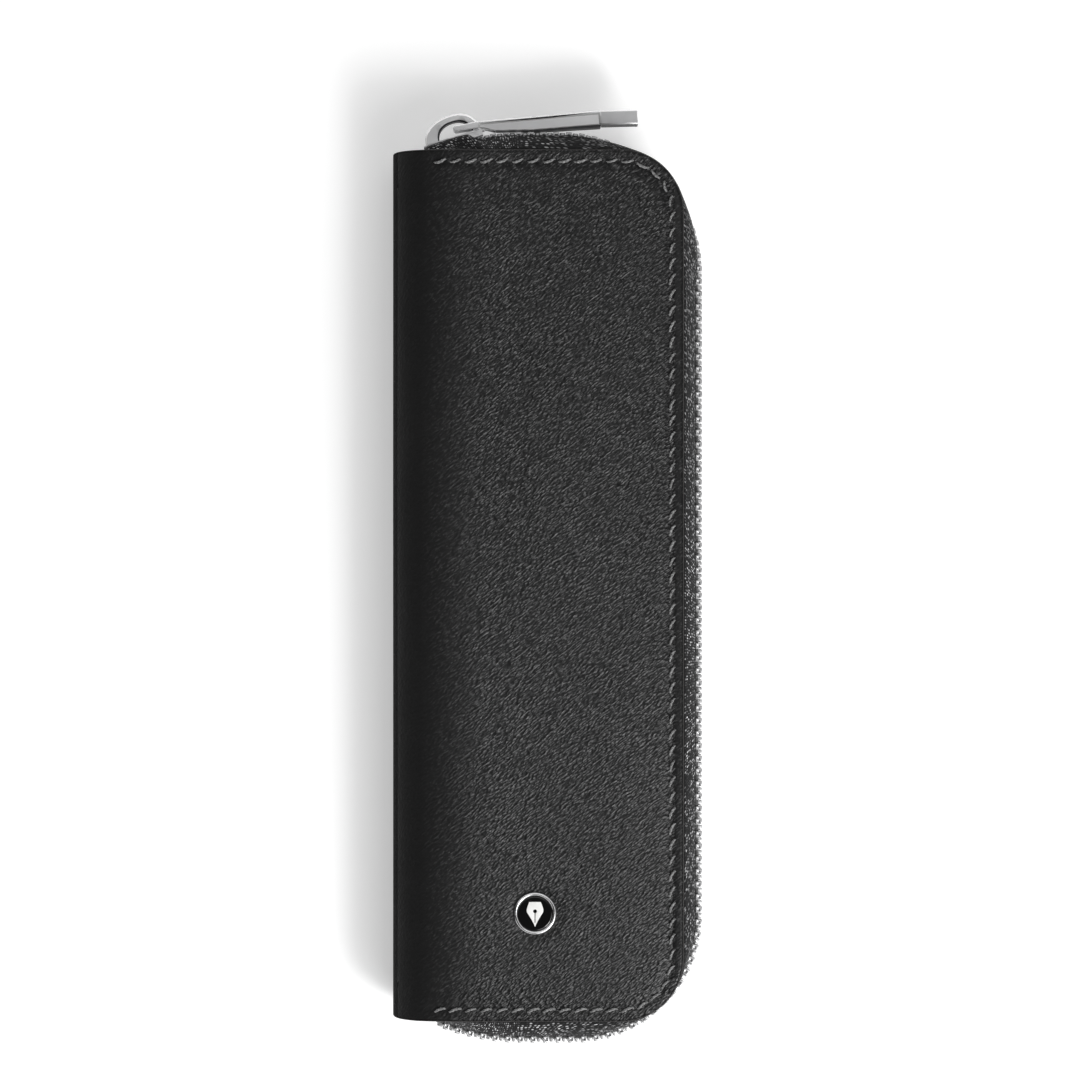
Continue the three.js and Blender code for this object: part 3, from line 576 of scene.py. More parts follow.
# Painted highlight: a near-white, partly diffuse copy of the metal for rounded edges and the face plate's
# sides.
PAINTED_HIGHLIGHT_METAL = metal_material("painted_highlight_metal", (0.97, 0.97, 0.97), 0.18, 0.08, metallic=0.5)
METAL_PLAIN = metal_material("spring_metal", (0.6, 0.6, 0.61), 0.3, 0.15)
CHROME = metal_material("polished_chrome", (0.82, 0.82, 0.83), 0.12, 0.03, (4, 4, 4), depth=0.002)
BLACK_ENAMEL = enamel_material("black_enamel_gloss", (0.004, 0.004, 0.004))
WHITE_ENAMEL = enamel_material("white_enamel_gloss", (0.86, 0.86, 0.84), 0.22)
LINING_CLOTH = lining_material()
FIBRE_BOARD = board_material()
FOAM = foam_material()
FLOOR = floor_material()


# ---- Covers: flat sheets drawn in (q, y), then bent round the spine ----


class Section:
    """A cover's section from the middle of the spine to its flat. q is the distance along the skin,
    equal to X on the flat; w is the height from the case's middle plane."""

    def __init__(self, points):
        self.points = np.array(points, float)
        run = run_along(self.points)
        self.flat_x = self.points[-1][0]
        self.q = self.flat_x - run[-1] + run
        self.start = self.q[0]
        slope = np.gradient(self.points, self.q, axis=0)
        slope[-1] = (1, 0)
        slope[0] = (0, 1)
        self.slope = slope / np.linalg.norm(slope, axis=1)[:, None]

    def place(self, q, y, lift, side):
        """Points on the skin: lift is the height off it along its normal, side 1 the front cover."""
        q, y, lift = (np.asarray(v, float) for v in (q, y, lift))
        x = np.where(q > self.flat_x, q, np.interp(q, self.q, self.points[:, 0]))
        w = np.interp(q, self.q, self.points[:, 1])
        tangent_x = np.interp(q, self.q, self.slope[:, 0])
        tangent_w = np.interp(q, self.q, self.slope[:, 1])
        return np.stack([x - tangent_w * lift, y, MIDDLE_Z + side * (w + tangent_x * lift)], axis=-1)


def spine_curve(inside, count=90):
    """The rounded spine from its middle to the flat cover, so far inside the leather's outer face."""
    reach = ROUND_START_X - SPINE_X
    points = []
    for i in range(count + 1):
        angle = math.pi * (0.5 - 0.5 * i / count)
        x = ROUND_START_X - reach * math.sin(angle) ** (2 / ROUND_POWER)
        w = MIDDLE_Z * math.cos(angle) ** (2 / ROUND_POWER)
        points.append((x, w))
    points = np.array(points)
    slope = np.gradient(points, axis=0)
    slope[0], slope[-1] = (0, 1), (1, 0)
    slope /= np.linalg.norm(slope, axis=1)[:, None]
    return points + inside * np.stack([slope[:, 1], -slope[:, 0]], axis=1)


class Outline:
    """A cover's outline as a U of stations: along one end, round a corner, down the side and back."""

    def __init__(self, right, end, corner, start, spacing, corner_steps=22):
        self.right, self.end, self.corner, self.start = right, end, corner, start
        straight = right - corner - start
        self.across = np.linspace(0, 1, int(straight / spacing) + 1)
        self.angles = np.linspace(0, math.pi / 2, corner_steps + 1)[1:]
        count = int(2 * (end - corner) / spacing)
        self.down = np.linspace(1, -1, count + 1)[1:]

    def loop(self, inset):
        right, end = self.right - inset, self.end - inset
        corner = max(self.corner - inset, 0.5)
        mid_x, mid_y = self.right - self.corner, self.end - self.corner
        top = [(self.start + (mid_x - self.start) * t, end) for t in self.across]
        upper = [(mid_x + corner * math.sin(a), mid_y + corner * math.cos(a)) for a in self.angles]
        side = [(right, mid_y * t) for t in self.down]
        lower = [(mid_x + corner * math.cos(a), -mid_y - corner * math.sin(a)) for a in self.angles]
        bottom = [(x, -y) for x, y in reversed(top)][1:]
        return np.array(top + upper + side + lower + bottom)


def cover_sheet(name, section, outline, side, thickness, rim, band, material, relief=None):
    """A closed sheet with the outline and section: rim and band are insets from the edge, the rim's
    with the share of the thickness that the edge has fallen by there."""
    points, faces, lifts = [], [], []

    def add(qy, lift):
        first = len(points)
        points.extend(qy)
        lifts.extend(lift)
        return list(range(first, len(points)))

    def add_loop(inset, lift):
        qy = outline.loop(inset)
        extra = relief(qy[:, 0], qy[:, 1]) if relief else 0
        return add(qy, np.full(len(qy), lift) + extra)

    def join(one, other):
        faces.extend((one[i], one[i + 1], other[i + 1], other[i]) for i in range(len(one) - 1))

    def fill(loop, inset, lift):
        """The middle of the sheet: rows from the end of the top run round to the bottom run."""
        count = len(outline.across)
        ring = outline.loop(inset)
        rows = list(range(count - 1, len(ring) - count + 1))
        grid = [loop[:count]]
        for r in rows[1:-1]:
            x, y = ring[r]
            q = outline.start + (x - outline.start) * outline.across[:-1]
            qy = np.stack([q, np.full(len(q), y)], axis=1)
            extra = relief(qy[:, 0], qy[:, 1]) if relief else 0
            grid.append(add(qy, np.full(len(q), lift) + extra) + [loop[r]])
        grid.append(loop[len(ring) - count :][::-1])
        for one, other in zip(grid, grid[1:]):
            join(one, other)
        return [row[0] for row in grid]

    outer = [add_loop(inset, 0) for inset in reversed(band)]
    outer += [add_loop(inset, -fall * thickness) for inset, fall in reversed(rim)]
    inner = [add_loop(inset, -(1 - fall) * thickness) for inset, fall in rim]
    inner += [add_loop(inset, -thickness) for inset in band]
    loops = outer + inner
    for one, other in zip(loops, loops[1:]):
        join(one, other)
    top_column = fill(loops[0], band[-1], 0)
    low_column = fill(loops[-1], band[-1], -thickness)
    half = len(loops) // 2
    for end in (0, -1):
        for i in range(half - 1):
            a, b = loops[i][end], loops[i + 1][end]
            c, d = loops[-2 - i][end], loops[-1 - i][end]
            faces.append((a, b, c, d))
    for i in range(len(top_column) - 1):
        faces.append((top_column[i], top_column[i + 1], low_column[i + 1], low_column[i]))
    qy = np.array(points)
    placed = section.place(qy[:, 0], qy[:, 1], np.array(lifts), side)
    return make_piece(name, placed, faces, material, uvs=qy)


LEATHER_SECTION = Section(spine_curve(0))
LEATHER_OUTLINE = Outline(EDGE_X, END_Y, CORNER, LEATHER_SECTION.start, 0.7)
RIM = [(0.34, 0.0), (0.17, 0.05), (0.06, 0.15), (0.0, 0.3)]
BAND = [0.5, 0.75, 1.1, 1.5, 1.8, 2.0, 2.2, 2.4, 2.65, 3.0, 3.4, 3.9, 4.5, 5.2, 6.0]


def edge_distance(q, y):
    """How far a point of the flat cover lies inside its outline."""
    mid_x, mid_y = EDGE_X - CORNER, END_Y - CORNER
    in_corner = (q > mid_x) & (np.abs(y) > mid_y)
    round_part = CORNER - np.hypot(q - mid_x, np.abs(y) - mid_y)
    return np.where(in_corner, round_part, np.minimum(EDGE_X - q, END_Y - np.abs(y)))


def seam_run(q, y):
    """Distance along the seam, for the pull of each stitch."""
    mid_x, mid_y = EDGE_X - CORNER, END_Y - CORNER
    angle = np.arctan2(np.maximum(q - mid_x, 0), np.maximum(np.abs(y) - mid_y, 1e-9))
    arc = (CORNER - STITCH_INSET) * angle
    top = np.minimum(q, mid_x) - STITCH_START_X
    along = top + np.where(q > mid_x, arc, 0) + np.where(np.abs(y) < mid_y, mid_y - np.abs(y), 0)
    return along


def cover_relief(emblem):
    """The stitched border lies lower than the padded middle, and each stitch draws the leather in."""

    def relief(q, y):
        d = edge_distance(q, y)
        stitched = smooth_step(q, STITCH_START_X - 3.5, STITCH_START_X + 1.5)
        border = -0.34 * (1 - smooth_step(d, 2.3, 4.6))
        crown = -0.10 * (1 - smooth_step(d, 4.0, 12.0))
        seam = np.exp(-(((d - STITCH_INSET) / 0.42) ** 2))
        beat = 0.5 + 0.5 * np.cos(2 * math.pi * seam_run(q, y) / STITCH_PITCH)
        pull = -seam * (0.07 + 0.07 * beat)
        puff = 0.03 * np.exp(-(((d - 3.9) / 0.8) ** 2)) * (1 - beat)
        end = END_Y - np.abs(y)
        waves = np.sin(q * 2.1 + np.sign(y)) + 0.6 * np.sin(q * 3.3 + 1.3 * end)
        gather = np.exp(-(((q + 14.5) / 4.5) ** 2)) * np.exp(-(((end - 3.6) / 1.7) ** 2))
        slack = 0.05 * np.sin(q * 0.21 + 1.0) * np.sin(y * 0.052 + 0.6) * smooth_step(d, 4, 12)
        height = stitched * (border + crown + pull + puff) + 0.11 * gather * waves + slack - 0.05
        if emblem:
            away = np.hypot(q - EMBLEM_X, y - EMBLEM_Y)
            height = height - 0.22 * np.exp(-((np.maximum(away - EMBLEM_RADIUS, 0) / 1.1) ** 2))
        return height

    return relief


WORN_END = float(np.interp(SPINE_X + WORN_REACH, LEATHER_SECTION.points[:, 0], LEATHER_SECTION.q))


def paint_edges(piece):
    """The cut edge and its rounded rim take the edge paint, and the back of the spine is matt."""
    piece.data.materials.append(EDGE_PAINT)
    piece.data.materials.append(SPINE_CALF)
    flat = piece.data.uv_layers[0].data
    for polygon in piece.data.polygons:
        x, y, _ = np.array(polygon.center) / MM
        on_flat = x > ROUND_START_X
        inset = edge_distance(np.array(x), np.array(y)) if on_flat else END_Y - abs(y)
        across = max(flat[i].uv.x for i in polygon.loop_indices)
        if inset < PAINT_REACH:
            polygon.material_index = 1
        elif across < WORN_END:
            polygon.material_index = 2


def leather_half(side):
    name = SIDES[side] + "_leather_skin"
    shape = LEATHER_SECTION, LEATHER_OUTLINE, side, LEATHER, RIM, BAND
    piece = cover_sheet(name, *shape, CALF, cover_relief(side > 0))
    paint_edges(piece)
    return piece


# ---- Stitches ----


def strand_tube(centre, radii, sides=7):
    """Points and quads of a tube with closed ends along a short line of points."""
    centre = np.asarray(centre, float)
    tangent = np.gradient(centre, axis=0)
    tangent /= np.linalg.norm(tangent, axis=1)[:, None]
    up = np.array([0.0, 0.0, 1.0])
    aside = np.cross(tangent, up)
    aside /= np.maximum(np.linalg.norm(aside, axis=1)[:, None], 1e-9)
    over = np.cross(aside, tangent)
    angles = np.arange(sides) * 2 * math.pi / sides
    rings = [
        c + r * (np.outer(np.cos(angles), a) + np.outer(np.sin(angles), o))
        for c, r, a, o in zip(centre, radii, aside, over)
    ]
    return np.concatenate(rings), tube_faces(len(centre), sides)


def stitch_strands(length, lift, radius, turns=1.5, steps=11):
    """Two plies of one stitch in its own frame: along X, with Z off the leather."""
    t = np.linspace(0, 1, steps)
    rise = lift * np.sin(math.pi * t) ** 0.7 - 0.28 * (np.abs(2 * t - 1) ** 5)
    shapes = []
    for phase in (0, math.pi):
        angle = 2 * math.pi * turns * t + phase
        bow = -0.09 * length * np.sin(math.pi * t)
        over = rise + 0.62 * radius * np.sin(angle)
        centre = np.stack([(t - 0.5) * length, bow + 0.62 * radius * np.cos(angle), over], axis=1)
        radii = radius * (0.55 + 0.45 * np.sin(math.pi * np.clip(t, 0.04, 0.96)) ** 0.4)
        shapes.append(strand_tube(centre, radii))
    return shapes


def stitch_row(name, places, material, length=STITCH_LENGTH, radius=THREAD_RADIUS):
    """All stitches of one seam as one piece: places holds an origin and three axes for each."""
    points, faces = [], []
    shapes = stitch_strands(length, 0.12, radius)
    total = 0
    for origin, along, aside, up in places:
        turn = np.stack([along, aside, up])
        for shape, quads in shapes:
            points.append(origin + shape @ turn)
            faces.extend(tuple(total + i for i in quad) for quad in quads)
            total += len(shape)
    return make_piece(name, np.concatenate(points), faces, material)


def edge_stitches(side):
    """The seam round a cover. Its stitches slant the same way on the page at every side."""
    line = LEATHER_OUTLINE.loop(STITCH_INSET)
    run = run_along(line)
    top = run[np.argmax(line[:, 0] > STITCH_START_X)]
    relief = cover_relief(side > 0)
    uneven = np.random.default_rng(7)
    places = []
    count = int((run[-1] - 2 * top) / STITCH_PITCH)
    for i in range(count + 1):
        s = top + (i + 0.5) * (run[-1] - 2 * top) / (count + 1)
        q, y = (np.interp(s, run, line[:, k]) for k in (0, 1))
        ahead = np.array([np.interp(s + 0.3, run, line[:, k]) for k in (0, 1)])
        heading = math.atan2(ahead[1] - y, ahead[0] - q)
        slant = heading + math.radians(STITCH_SLANT * math.cos(2 * heading) - 3 + uneven.normal(0, 3))
        reach = 0.4
        lift = float(relief(np.array([q]), np.array([y]))[0]) + 0.16

        def at(dq, dy, up):
            return LEATHER_SECTION.place(q + dq, y + dy, lift + up, side)

        origin = at(0, 0, 0)
        along = at(reach * math.cos(slant), reach * math.sin(slant), 0) - origin
        up = at(0, 0, reach) - origin
        along *= uneven.uniform(0.86, 1.06) / np.linalg.norm(along)
        up /= np.linalg.norm(up)
        places.append((origin, along, np.cross(up, along), up))
    return stitch_row(SIDES[side] + "_edge_stitches", places, EDGE_THREAD)


# ---- Zip ----


def arc_points(x, y, radius, start, turn, count):
    angles = start - np.linspace(0, turn, count + 1)
    return np.stack([x + radius * np.cos(angles), y + radius * np.sin(angles)], axis=1)


def line_points(a, b, count):
    return np.linspace(a, b, count + 1)


def round_three_sides(first, last, bounds, corners, counts):
    """A line in seven stretches: first, a run along the slider's end, a corner, the long side, a
    corner, a run along the far end, and last. bounds holds the top, the side and the bottom."""
    (top, side, bottom), (upper, lower) = bounds, corners
    quarter = math.pi / 2
    upper_x, upper_y = side - upper, top - upper
    lower_x, lower_y = side - lower, bottom + lower
    stretches = [
        first,
        line_points((BEND_X, top), (upper_x, top), counts[1]),
        arc_points(upper_x, upper_y, upper, quarter, quarter, counts[2]),
        line_points((side, upper_y), (side, lower_y), counts[3]),
        arc_points(lower_x, lower_y, lower, 0, quarter, counts[4]),
        line_points((lower_x, bottom), (BEND_X, bottom), counts[5]),
        last,
    ]
    return np.concatenate([first] + [s[1:] for s in stretches[1:]])


def chain_stretches(counts):
    """The middle of the chain, seen from above."""
    start = math.pi / 2 + END_TURN
    first = arc_points(BEND_X, BEND_Y, END_BEND, start, END_TURN, counts[0])
    last = arc_points(BEND_X, CHAIN_BOTTOM + END_BEND, END_BEND, -math.pi / 2, END_TURN, counts[6])
    bounds = CHAIN_TOP, CHAIN_X, CHAIN_BOTTOM
    return round_three_sides(first, last, bounds, (CHAIN_CORNER_TOP, CHAIN_CORNER_BOTTOM), counts)


def edge_stretches(inset, counts):
    """The leather's edge, so far in, in the same stretches."""
    side, end, corner = EDGE_X - inset, END_Y - inset, CORNER - inset
    first = line_points((TAPE_START_X, end), (BEND_X, end), counts[0])
    last = line_points((BEND_X, -end), (TAPE_START_X, -end), counts[6])
    return round_three_sides(first, last, (end, side, -end), (corner, corner), counts)


CHAIN_LINE = chain_stretches([400, 300, 600, 2400, 600, 300, 400])
CHAIN_RUN = run_along(CHAIN_LINE)
CHAIN_LENGTH = CHAIN_RUN[-1]


def row_spread(along):
    return ROW_SPREAD * smooth_step(SLIDER_STATION - np.asarray(along, float), -1.5, 4.5)


def chain_frame(along):
    """The place, heading and outward direction at a distance along the chain."""
    back, here, on = (
        np.array([np.interp(at, CHAIN_RUN, CHAIN_LINE[:, k]) for k in (0, 1)])
        for at in (along - 0.2, along, along + 0.2)
    )
    heading = (on - back) / np.linalg.norm(on - back)
    return here, heading, np.array([-heading[1], heading[0]])


def tape_offsets(run, counts):
    """How far the tape stands out beyond the teeth along the chain, and where the slider is."""
    near_slider = smooth_step(run, SLIDER_STATION - 7, SLIDER_STATION - 4)
    near_slider *= 1 - smooth_step(run, SLIDER_STATION + 3, SLIDER_STATION + 5)
    straight, corner = run[sum(counts[:2])], run[sum(counts[:3])]
    stations = [straight + 6, straight + 14, corner - 12, corner + 4]
    offsets = [TAPE_TOP_RISE, TAPE_CORNER_RISE, TAPE_CORNER_RISE, -TAPE_SET_IN]
    return np.interp(run, stations, offsets), near_slider


def zip_tape(side):
    """Half the tape: sewn under the leather's edge, bowing out past it and back to the teeth."""
    counts = [44, 24, 44, 200, 44, 24, 44]
    chain = chain_stretches(counts)
    run = run_along(chain)
    under = MIDDLE_Z - LEATHER - 0.34
    tip = CORD_HEIGHT + 0.25 + row_spread(run)
    lines = []
    for inset in (6.2, 4.0, 2.0, 1.1, 0.55):
        edge = edge_stretches(inset, counts)
        lines.append(np.column_stack([edge, np.full(len(edge), under)]))
    edge = edge_stretches(0.1, counts)
    heading = np.gradient(chain, axis=0)
    outward = np.stack([-heading[:, 1], heading[:, 0]], axis=1)
    outward /= np.linalg.norm(outward, axis=1)[:, None]
    rest, near_slider = tape_offsets(run, counts)
    low, high = (NOSE_HALF + 0.3, NOSE_HALF + 0.9), (7.2, 9.2)
    for t in np.linspace(0.03, 1, 26):
        share = 1 - (1 - t) ** (1.8 + 2.2 * near_slider[:, None])
        height = under - (under - tip) * t
        swell = TAPE_SWELL * smooth_step(height, *low) * (1 - smooth_step(height, *high))
        offset = swell * near_slider + rest
        at = edge + (chain + outward * offset[:, None] - edge) * share
        lines.append(np.column_stack([at, height]))
    middle = np.stack(lines, axis=1)
    normal = np.cross(np.gradient(middle, axis=0), np.gradient(middle, axis=1))
    normal *= TAPE / 2 / np.linalg.norm(normal, axis=2)[:, :, None]
    rows, columns = middle.shape[:2]
    width = np.array([run_along(row) for row in middle])
    uv = np.stack([np.repeat(run[:, None], columns, axis=1), width], axis=2)
    ring = np.concatenate([middle + normal, (middle - normal)[:, ::-1]], axis=1)
    ring_uv = np.concatenate([uv, uv[:, ::-1]], axis=1).reshape(-1, 2)
    points = ring.reshape(-1, 3)
    points[:, 2] = MIDDLE_Z + side * points[:, 2]
    faces = strip_faces(rows, 2 * columns)
    return make_piece(f"zip_tape_{SIDES[side]}_weave", points, faces, TAPE_WEAVE, uvs=ring_uv)


def tooth_shape():
    """One tooth: a broad foot that grips the tape, a neck and a head. Drawn along, outward, up."""
    half = [(0.58, 2.28), (0.58, 1.05), (0.5, 0.72), (0.55, -0.1), (0.42, -0.8)]
    outline = half + [(-x, y) for x, y in reversed(half)]
    tooth = prism("tooth", outline, -TOOTH_HALF_HEIGHT, TOOTH_HALF_HEIGHT, TOOTH_METAL, "xz")
    grip = cutter(rectangle(-1, 1.6, 1, 3), -0.74, -0.16, "xz")
    dimple = rectangle(-0.3, 1.35, 0.3, 1.95)
    bottom = TOOTH_HALF_HEIGHT - 0.22
    hollows = [cutter(dimple, a, b, "xz") for a, b in ((bottom, 2), (-2, -bottom))]
    notch = cutter(rectangle(-0.22, 2.05, 0.22, 3), 0.2, 0.62, "xz")
    carve(tooth, grip, *hollows, notch)
    bevel(tooth, 0.15, 2)
    shape = np.array([v.co for v in tooth.data.vertices]) / MM
    faces = [tuple(p.vertices) for p in tooth.data.polygons]
    bpy.data.objects.remove(tooth)
    return shape, faces


TOOTH = tooth_shape()


def tooth_row(side):
    """Every tooth of one half as one piece, half a pitch from the other half's."""
    shape, quads = TOOTH
    phase = 0 if side > 0 else 0.5
    points, faces = [], []
    count = int((CHAIN_LENGTH - 2 * CHAIN_LEAD) / TOOTH_PITCH) - 1
    for i in range(count):
        along = CHAIN_LEAD + (i + 0.5 + phase) * TOOTH_PITCH
        here, heading, outward = chain_frame(along)
        up = side * (shape[:, 2] + float(row_spread(along)))
        flat = here + np.outer(shape[:, 0], heading) + np.outer(shape[:, 1], outward)
        faces.extend(tuple(i * len(shape) + k for k in quad) for quad in quads)
        points.append(np.column_stack([flat, MIDDLE_Z + up]))
    row = make_piece(f"zip_teeth_{SIDES[side]}_metal", np.concatenate(points), faces, TOOTH_METAL)
    sharpen(row)
    return row


def zip_cord(side):
    """The round beaded edge of the tape, inside the teeth."""
    stations = np.arange(0.6, CHAIN_LENGTH - 0.6, 0.55)
    sides = 8
    angles = np.arange(sides) * 2 * math.pi / sides
    points = []
    for s in stations:
        here, _, outward = chain_frame(s)
        swell = CORD_RADIUS + 0.07 * math.sin(s * 2 * math.pi / 1.2)
        up = CORD_HEIGHT + float(row_spread(s)) + swell * np.sin(angles)
        flat = here + np.outer(swell * np.cos(angles), outward)
        points.append(np.column_stack([flat, MIDDLE_Z + side * up]))
    faces = tube_faces(len(stations), sides)
    return make_piece(f"zip_cord_{SIDES[side]}", np.concatenate(points), faces, CORD_WEAVE)


def zip_stop(name, low, high, half_height, start, end):
    """A pressed metal stop on the chain, with a waist."""
    points = []
    steps = 8
    for i, s in enumerate(np.linspace(start, end, steps + 1)):
        here, _, outward = chain_frame(s)
        pinch = 1 - 0.12 * math.sin(math.pi * i / steps)
        for v, up in rectangle(-1, low, 1, high):
            flat = here + outward * v * half_height * pinch
            points.append((*flat, MIDDLE_Z + up))
    stop = make_piece(name, points, tube_faces(steps + 1, 4), TOOTH_METAL)
    bevel(stop, 0.22, 3, 50)
    return stop


# ---- Slider ----


def bezier(a, b, c, d, count=10):
    t = np.linspace(0, 1, count + 1)[:, None]
    a, b, c, d = (np.array(p, float) for p in (a, b, c, d))
    return (1 - t) ** 3 * a + 3 * t * (1 - t) ** 2 * b + 3 * t * t * (1 - t) * c + t**3 * d


def slider_side(half):
    """One side of the slider from nose to tail, so far in from its edge."""
    nose, tail = NOSE_HALF - half, TAIL_HALF - half
    curve = bezier((-1.5, nose), (0.6, nose), (0.4, tail), (2.4, tail))
    return [(-4.4, nose), *map(tuple, curve), (4.6, tail)]


def flange_outline(sign, tail):
    outer = [(x, sign * (y - 0.01)) for x, y in [*slider_side(0), (tail, TAIL_HALF - 0.2)]]
    inner = [(x, sign * y) for x, y in [*slider_side(FLANGE), (tail, TAIL_HALF - FLANGE)]]
    return outer + inner[::-1]


def plate_outline(tongue):
    upper = [(SLIDER_NOSE, 3.6), *slider_side(0), (SLIDER_TAIL, 2.4)]
    if tongue:
        upper += [(SLIDER_TAIL, 1.7), (6.9, 1.6)]
    return upper + [(x, -y) for x, y in reversed(upper)]


def slider_part(name, outline, low, high):
    """Drawn in the slider's plane, between two heights of its own Y."""
    return prism(name, outline, low, high, SATIN_METAL, "xz")


def slider_pieces():
    """Body, crown and lock spring in the slider's own frame."""
    body = slider_part("slider_body_cast", plate_outline(True), CHANNEL, SLIDER_TOP)
    lower = slider_part("lower", plate_outline(False), -SLIDER_TOP, -CHANNEL)
    diamond = [(SLIDER_NOSE, 0.6), (-4.5, 0.6), (-2.2, 0.02)]
    diamond += [(x, -y) for x, y in reversed(diamond)]
    post = slider_part("post", diamond, -CHANNEL - 0.2, CHANNEL + 0.2)
    flanges = []
    for sign in (1, -1):
        upper, under = flange_outline(sign, FLANGE_TAIL), flange_outline(sign, SLIDER_TAIL)
        flanges.append(slider_part("flange", upper, SLIT, CHANNEL + 0.2))
        flanges.append(slider_part("flange", under, -CHANNEL - 0.2, -SLIT))
    combine(body, [lower, post, *flanges], "UNION")
    # Painted highlight: the body's rounded edges take the near-white metal.
    bevel(body, 0.16, 1, 35, PAINTED_HIGHLIGHT_METAL)
    crown = slider_crown()
    leaf = rectangle(-0.9, -0.6, 4.4, 0.6)
    low = SLIDER_TOP + 0.05
    spring = prism("lock_spring_leaf", leaf, low, low + SPRING, METAL_PLAIN, "xz")
    bevel(spring, 0.06, 2)
    return body, crown, spring


def arch(noseward, tailward, rise, steps):
    """Points of a lopsided arch over the slider's top plate, from its nose end."""
    points = []
    for i in range(steps + 1):
        angle = math.pi * (1 - i / steps)
        share = abs(math.cos(angle)) ** (2 / ARCH_POWER)
        x = CROWN_MIDDLE + (-noseward if angle > math.pi / 2 else tailward) * share
        points.append((x, SLIDER_TOP - 0.02 + rise * math.sin(angle) ** (2 / ARCH_POWER)))
    return points


def closed_arch(points, foot):
    return [*points, (points[-1][0], foot), (points[0][0], foot)]


def slider_crown():
    """The bail: an arch over the top plate, thicker at the nose, with chamfered edges."""
    outer = arch(CROWN_NOSEWARD, CROWN_TAILWARD, CROWN_RISE, 48)
    outline = closed_arch(outer, SLIDER_TOP - 0.4)
    crown = prism("slider_crown_cast", outline, -CROWN_HALF, CROWN_HALF, SATIN_METAL)
    # Painted highlight: the chamfers take the near-white metal.
    bevel(crown, CROWN_CHAMFER, 1, 50, PAINTED_HIGHLIGHT_METAL, clamp=False)
    # Painted shade: the eye's cut faces take the near-black metal.
    carve(crown, *crown_eye(), dress=True)
    sharpen(crown)
    return crown


def crown_eye():
    """Cutters for the eye under the arch and for the hollow round its rim on both faces; they carry the
    painted shade metal, which the eye's cut faces take.
    """
    outline = closed_arch(arch(EYE_REACH, EYE_REACH, EYE_RISE, 40), 0)
    deep, proud = CROWN_HALF - EYE_RIM, CROWN_HALF + EYE_RIM
    cutters = [prism("cutter", outline, -9, 9, PAINTED_SHADE_METAL)]
    for low, high in ((deep, proud), (-proud, -deep)):
        flared = prism("cutter", outline, low, high, PAINTED_SHADE_METAL)
        for vertex in flared.data.vertices:
            if abs(vertex.co.z) > CROWN_HALF * MM:
                share = smooth_step(vertex.co.y / MM, SLIDER_TOP, SLIDER_TOP + EYE_RISE)
                vertex.co.x += math.copysign(2 * EYE_RIM * MM, vertex.co.x - CROWN_MIDDLE * MM)
                vertex.co.y += 2 * EYE_RIM * MM * share
        cutters.append(flared)
    return cutters


# ---- Pull ----


def shade_underside(piece, start=-math.inf):
    """Faces that look inwards, beyond start, take painted shade: a near-black metal for the shade under the
    pull.
    """
    piece.data.materials.append(PAINTED_SHADE_METAL)
    for polygon in piece.data.polygons:
        if polygon.normal.y < -0.8 and polygon.center.x / MM > start:
            polygon.material_index = 2


def pull_bar(bar, half, core, plate):
    """The eye and the slim bar, with a face plate that stands out over both sides."""
    turn = np.linspace(math.pi / 2, math.pi * 1.5, 13)
    nose = [(PULL_NOSE * math.cos(a), PULL_NOSE * math.sin(a)) for a in turn]
    belly = bezier((4.4, -0.3), (6.2, -0.5), (6.8, -1.1), (8.3, -1.2), 10)
    brow = bezier((3.9, PULL_FACE), (3.2, PULL_FACE), (2.4, 0.62), (0.4, 0.53), 8)
    back = [(14.8, -1.6), (bar + 0.3, PULL_BACK), (bar + 0.3, PULL_FACE)]
    pull = prism("pull_cast", [*nose, *map(tuple, belly), *back, *map(tuple, brow)], -half, half, SATIN_METAL)
    slot = rectangle(PULL_NOSE, -3, PULL_SLOT_END, 3)
    side = rectangle(PULL_REBATE_START, -3, bar - 0.05, plate)
    cutters = [cutter(slot, -PULL_SLOT_HALF, PULL_SLOT_HALF)]
    cutters += [cutter(side, low, high) for low, high in ((-half - 1, -core), (core, half + 1))]
    for x in PULL_NOTCHES:
        cutters.append(cutter(rectangle(x - 0.4, PULL_FACE - 0.35, x + 0.4, 2), -half - 1, half + 1))
    carve(pull, *cutters)
    # Painted highlight: the bar's rounded edges take the near-white metal.
    bevel(pull, 0.17, 1, 30, PAINTED_HIGHLIGHT_METAL, clamp=False)
    # Painted shade on the bar's inward faces.
    shade_underside(pull, PULL_SLOT_END + 0.3)
    # Painted highlight: the face plate's sides take the near-white metal too.
    for polygon in pull.data.polygons:
        if polygon.center.y / MM > plate:
            polygon.material_index = 1
    return pull


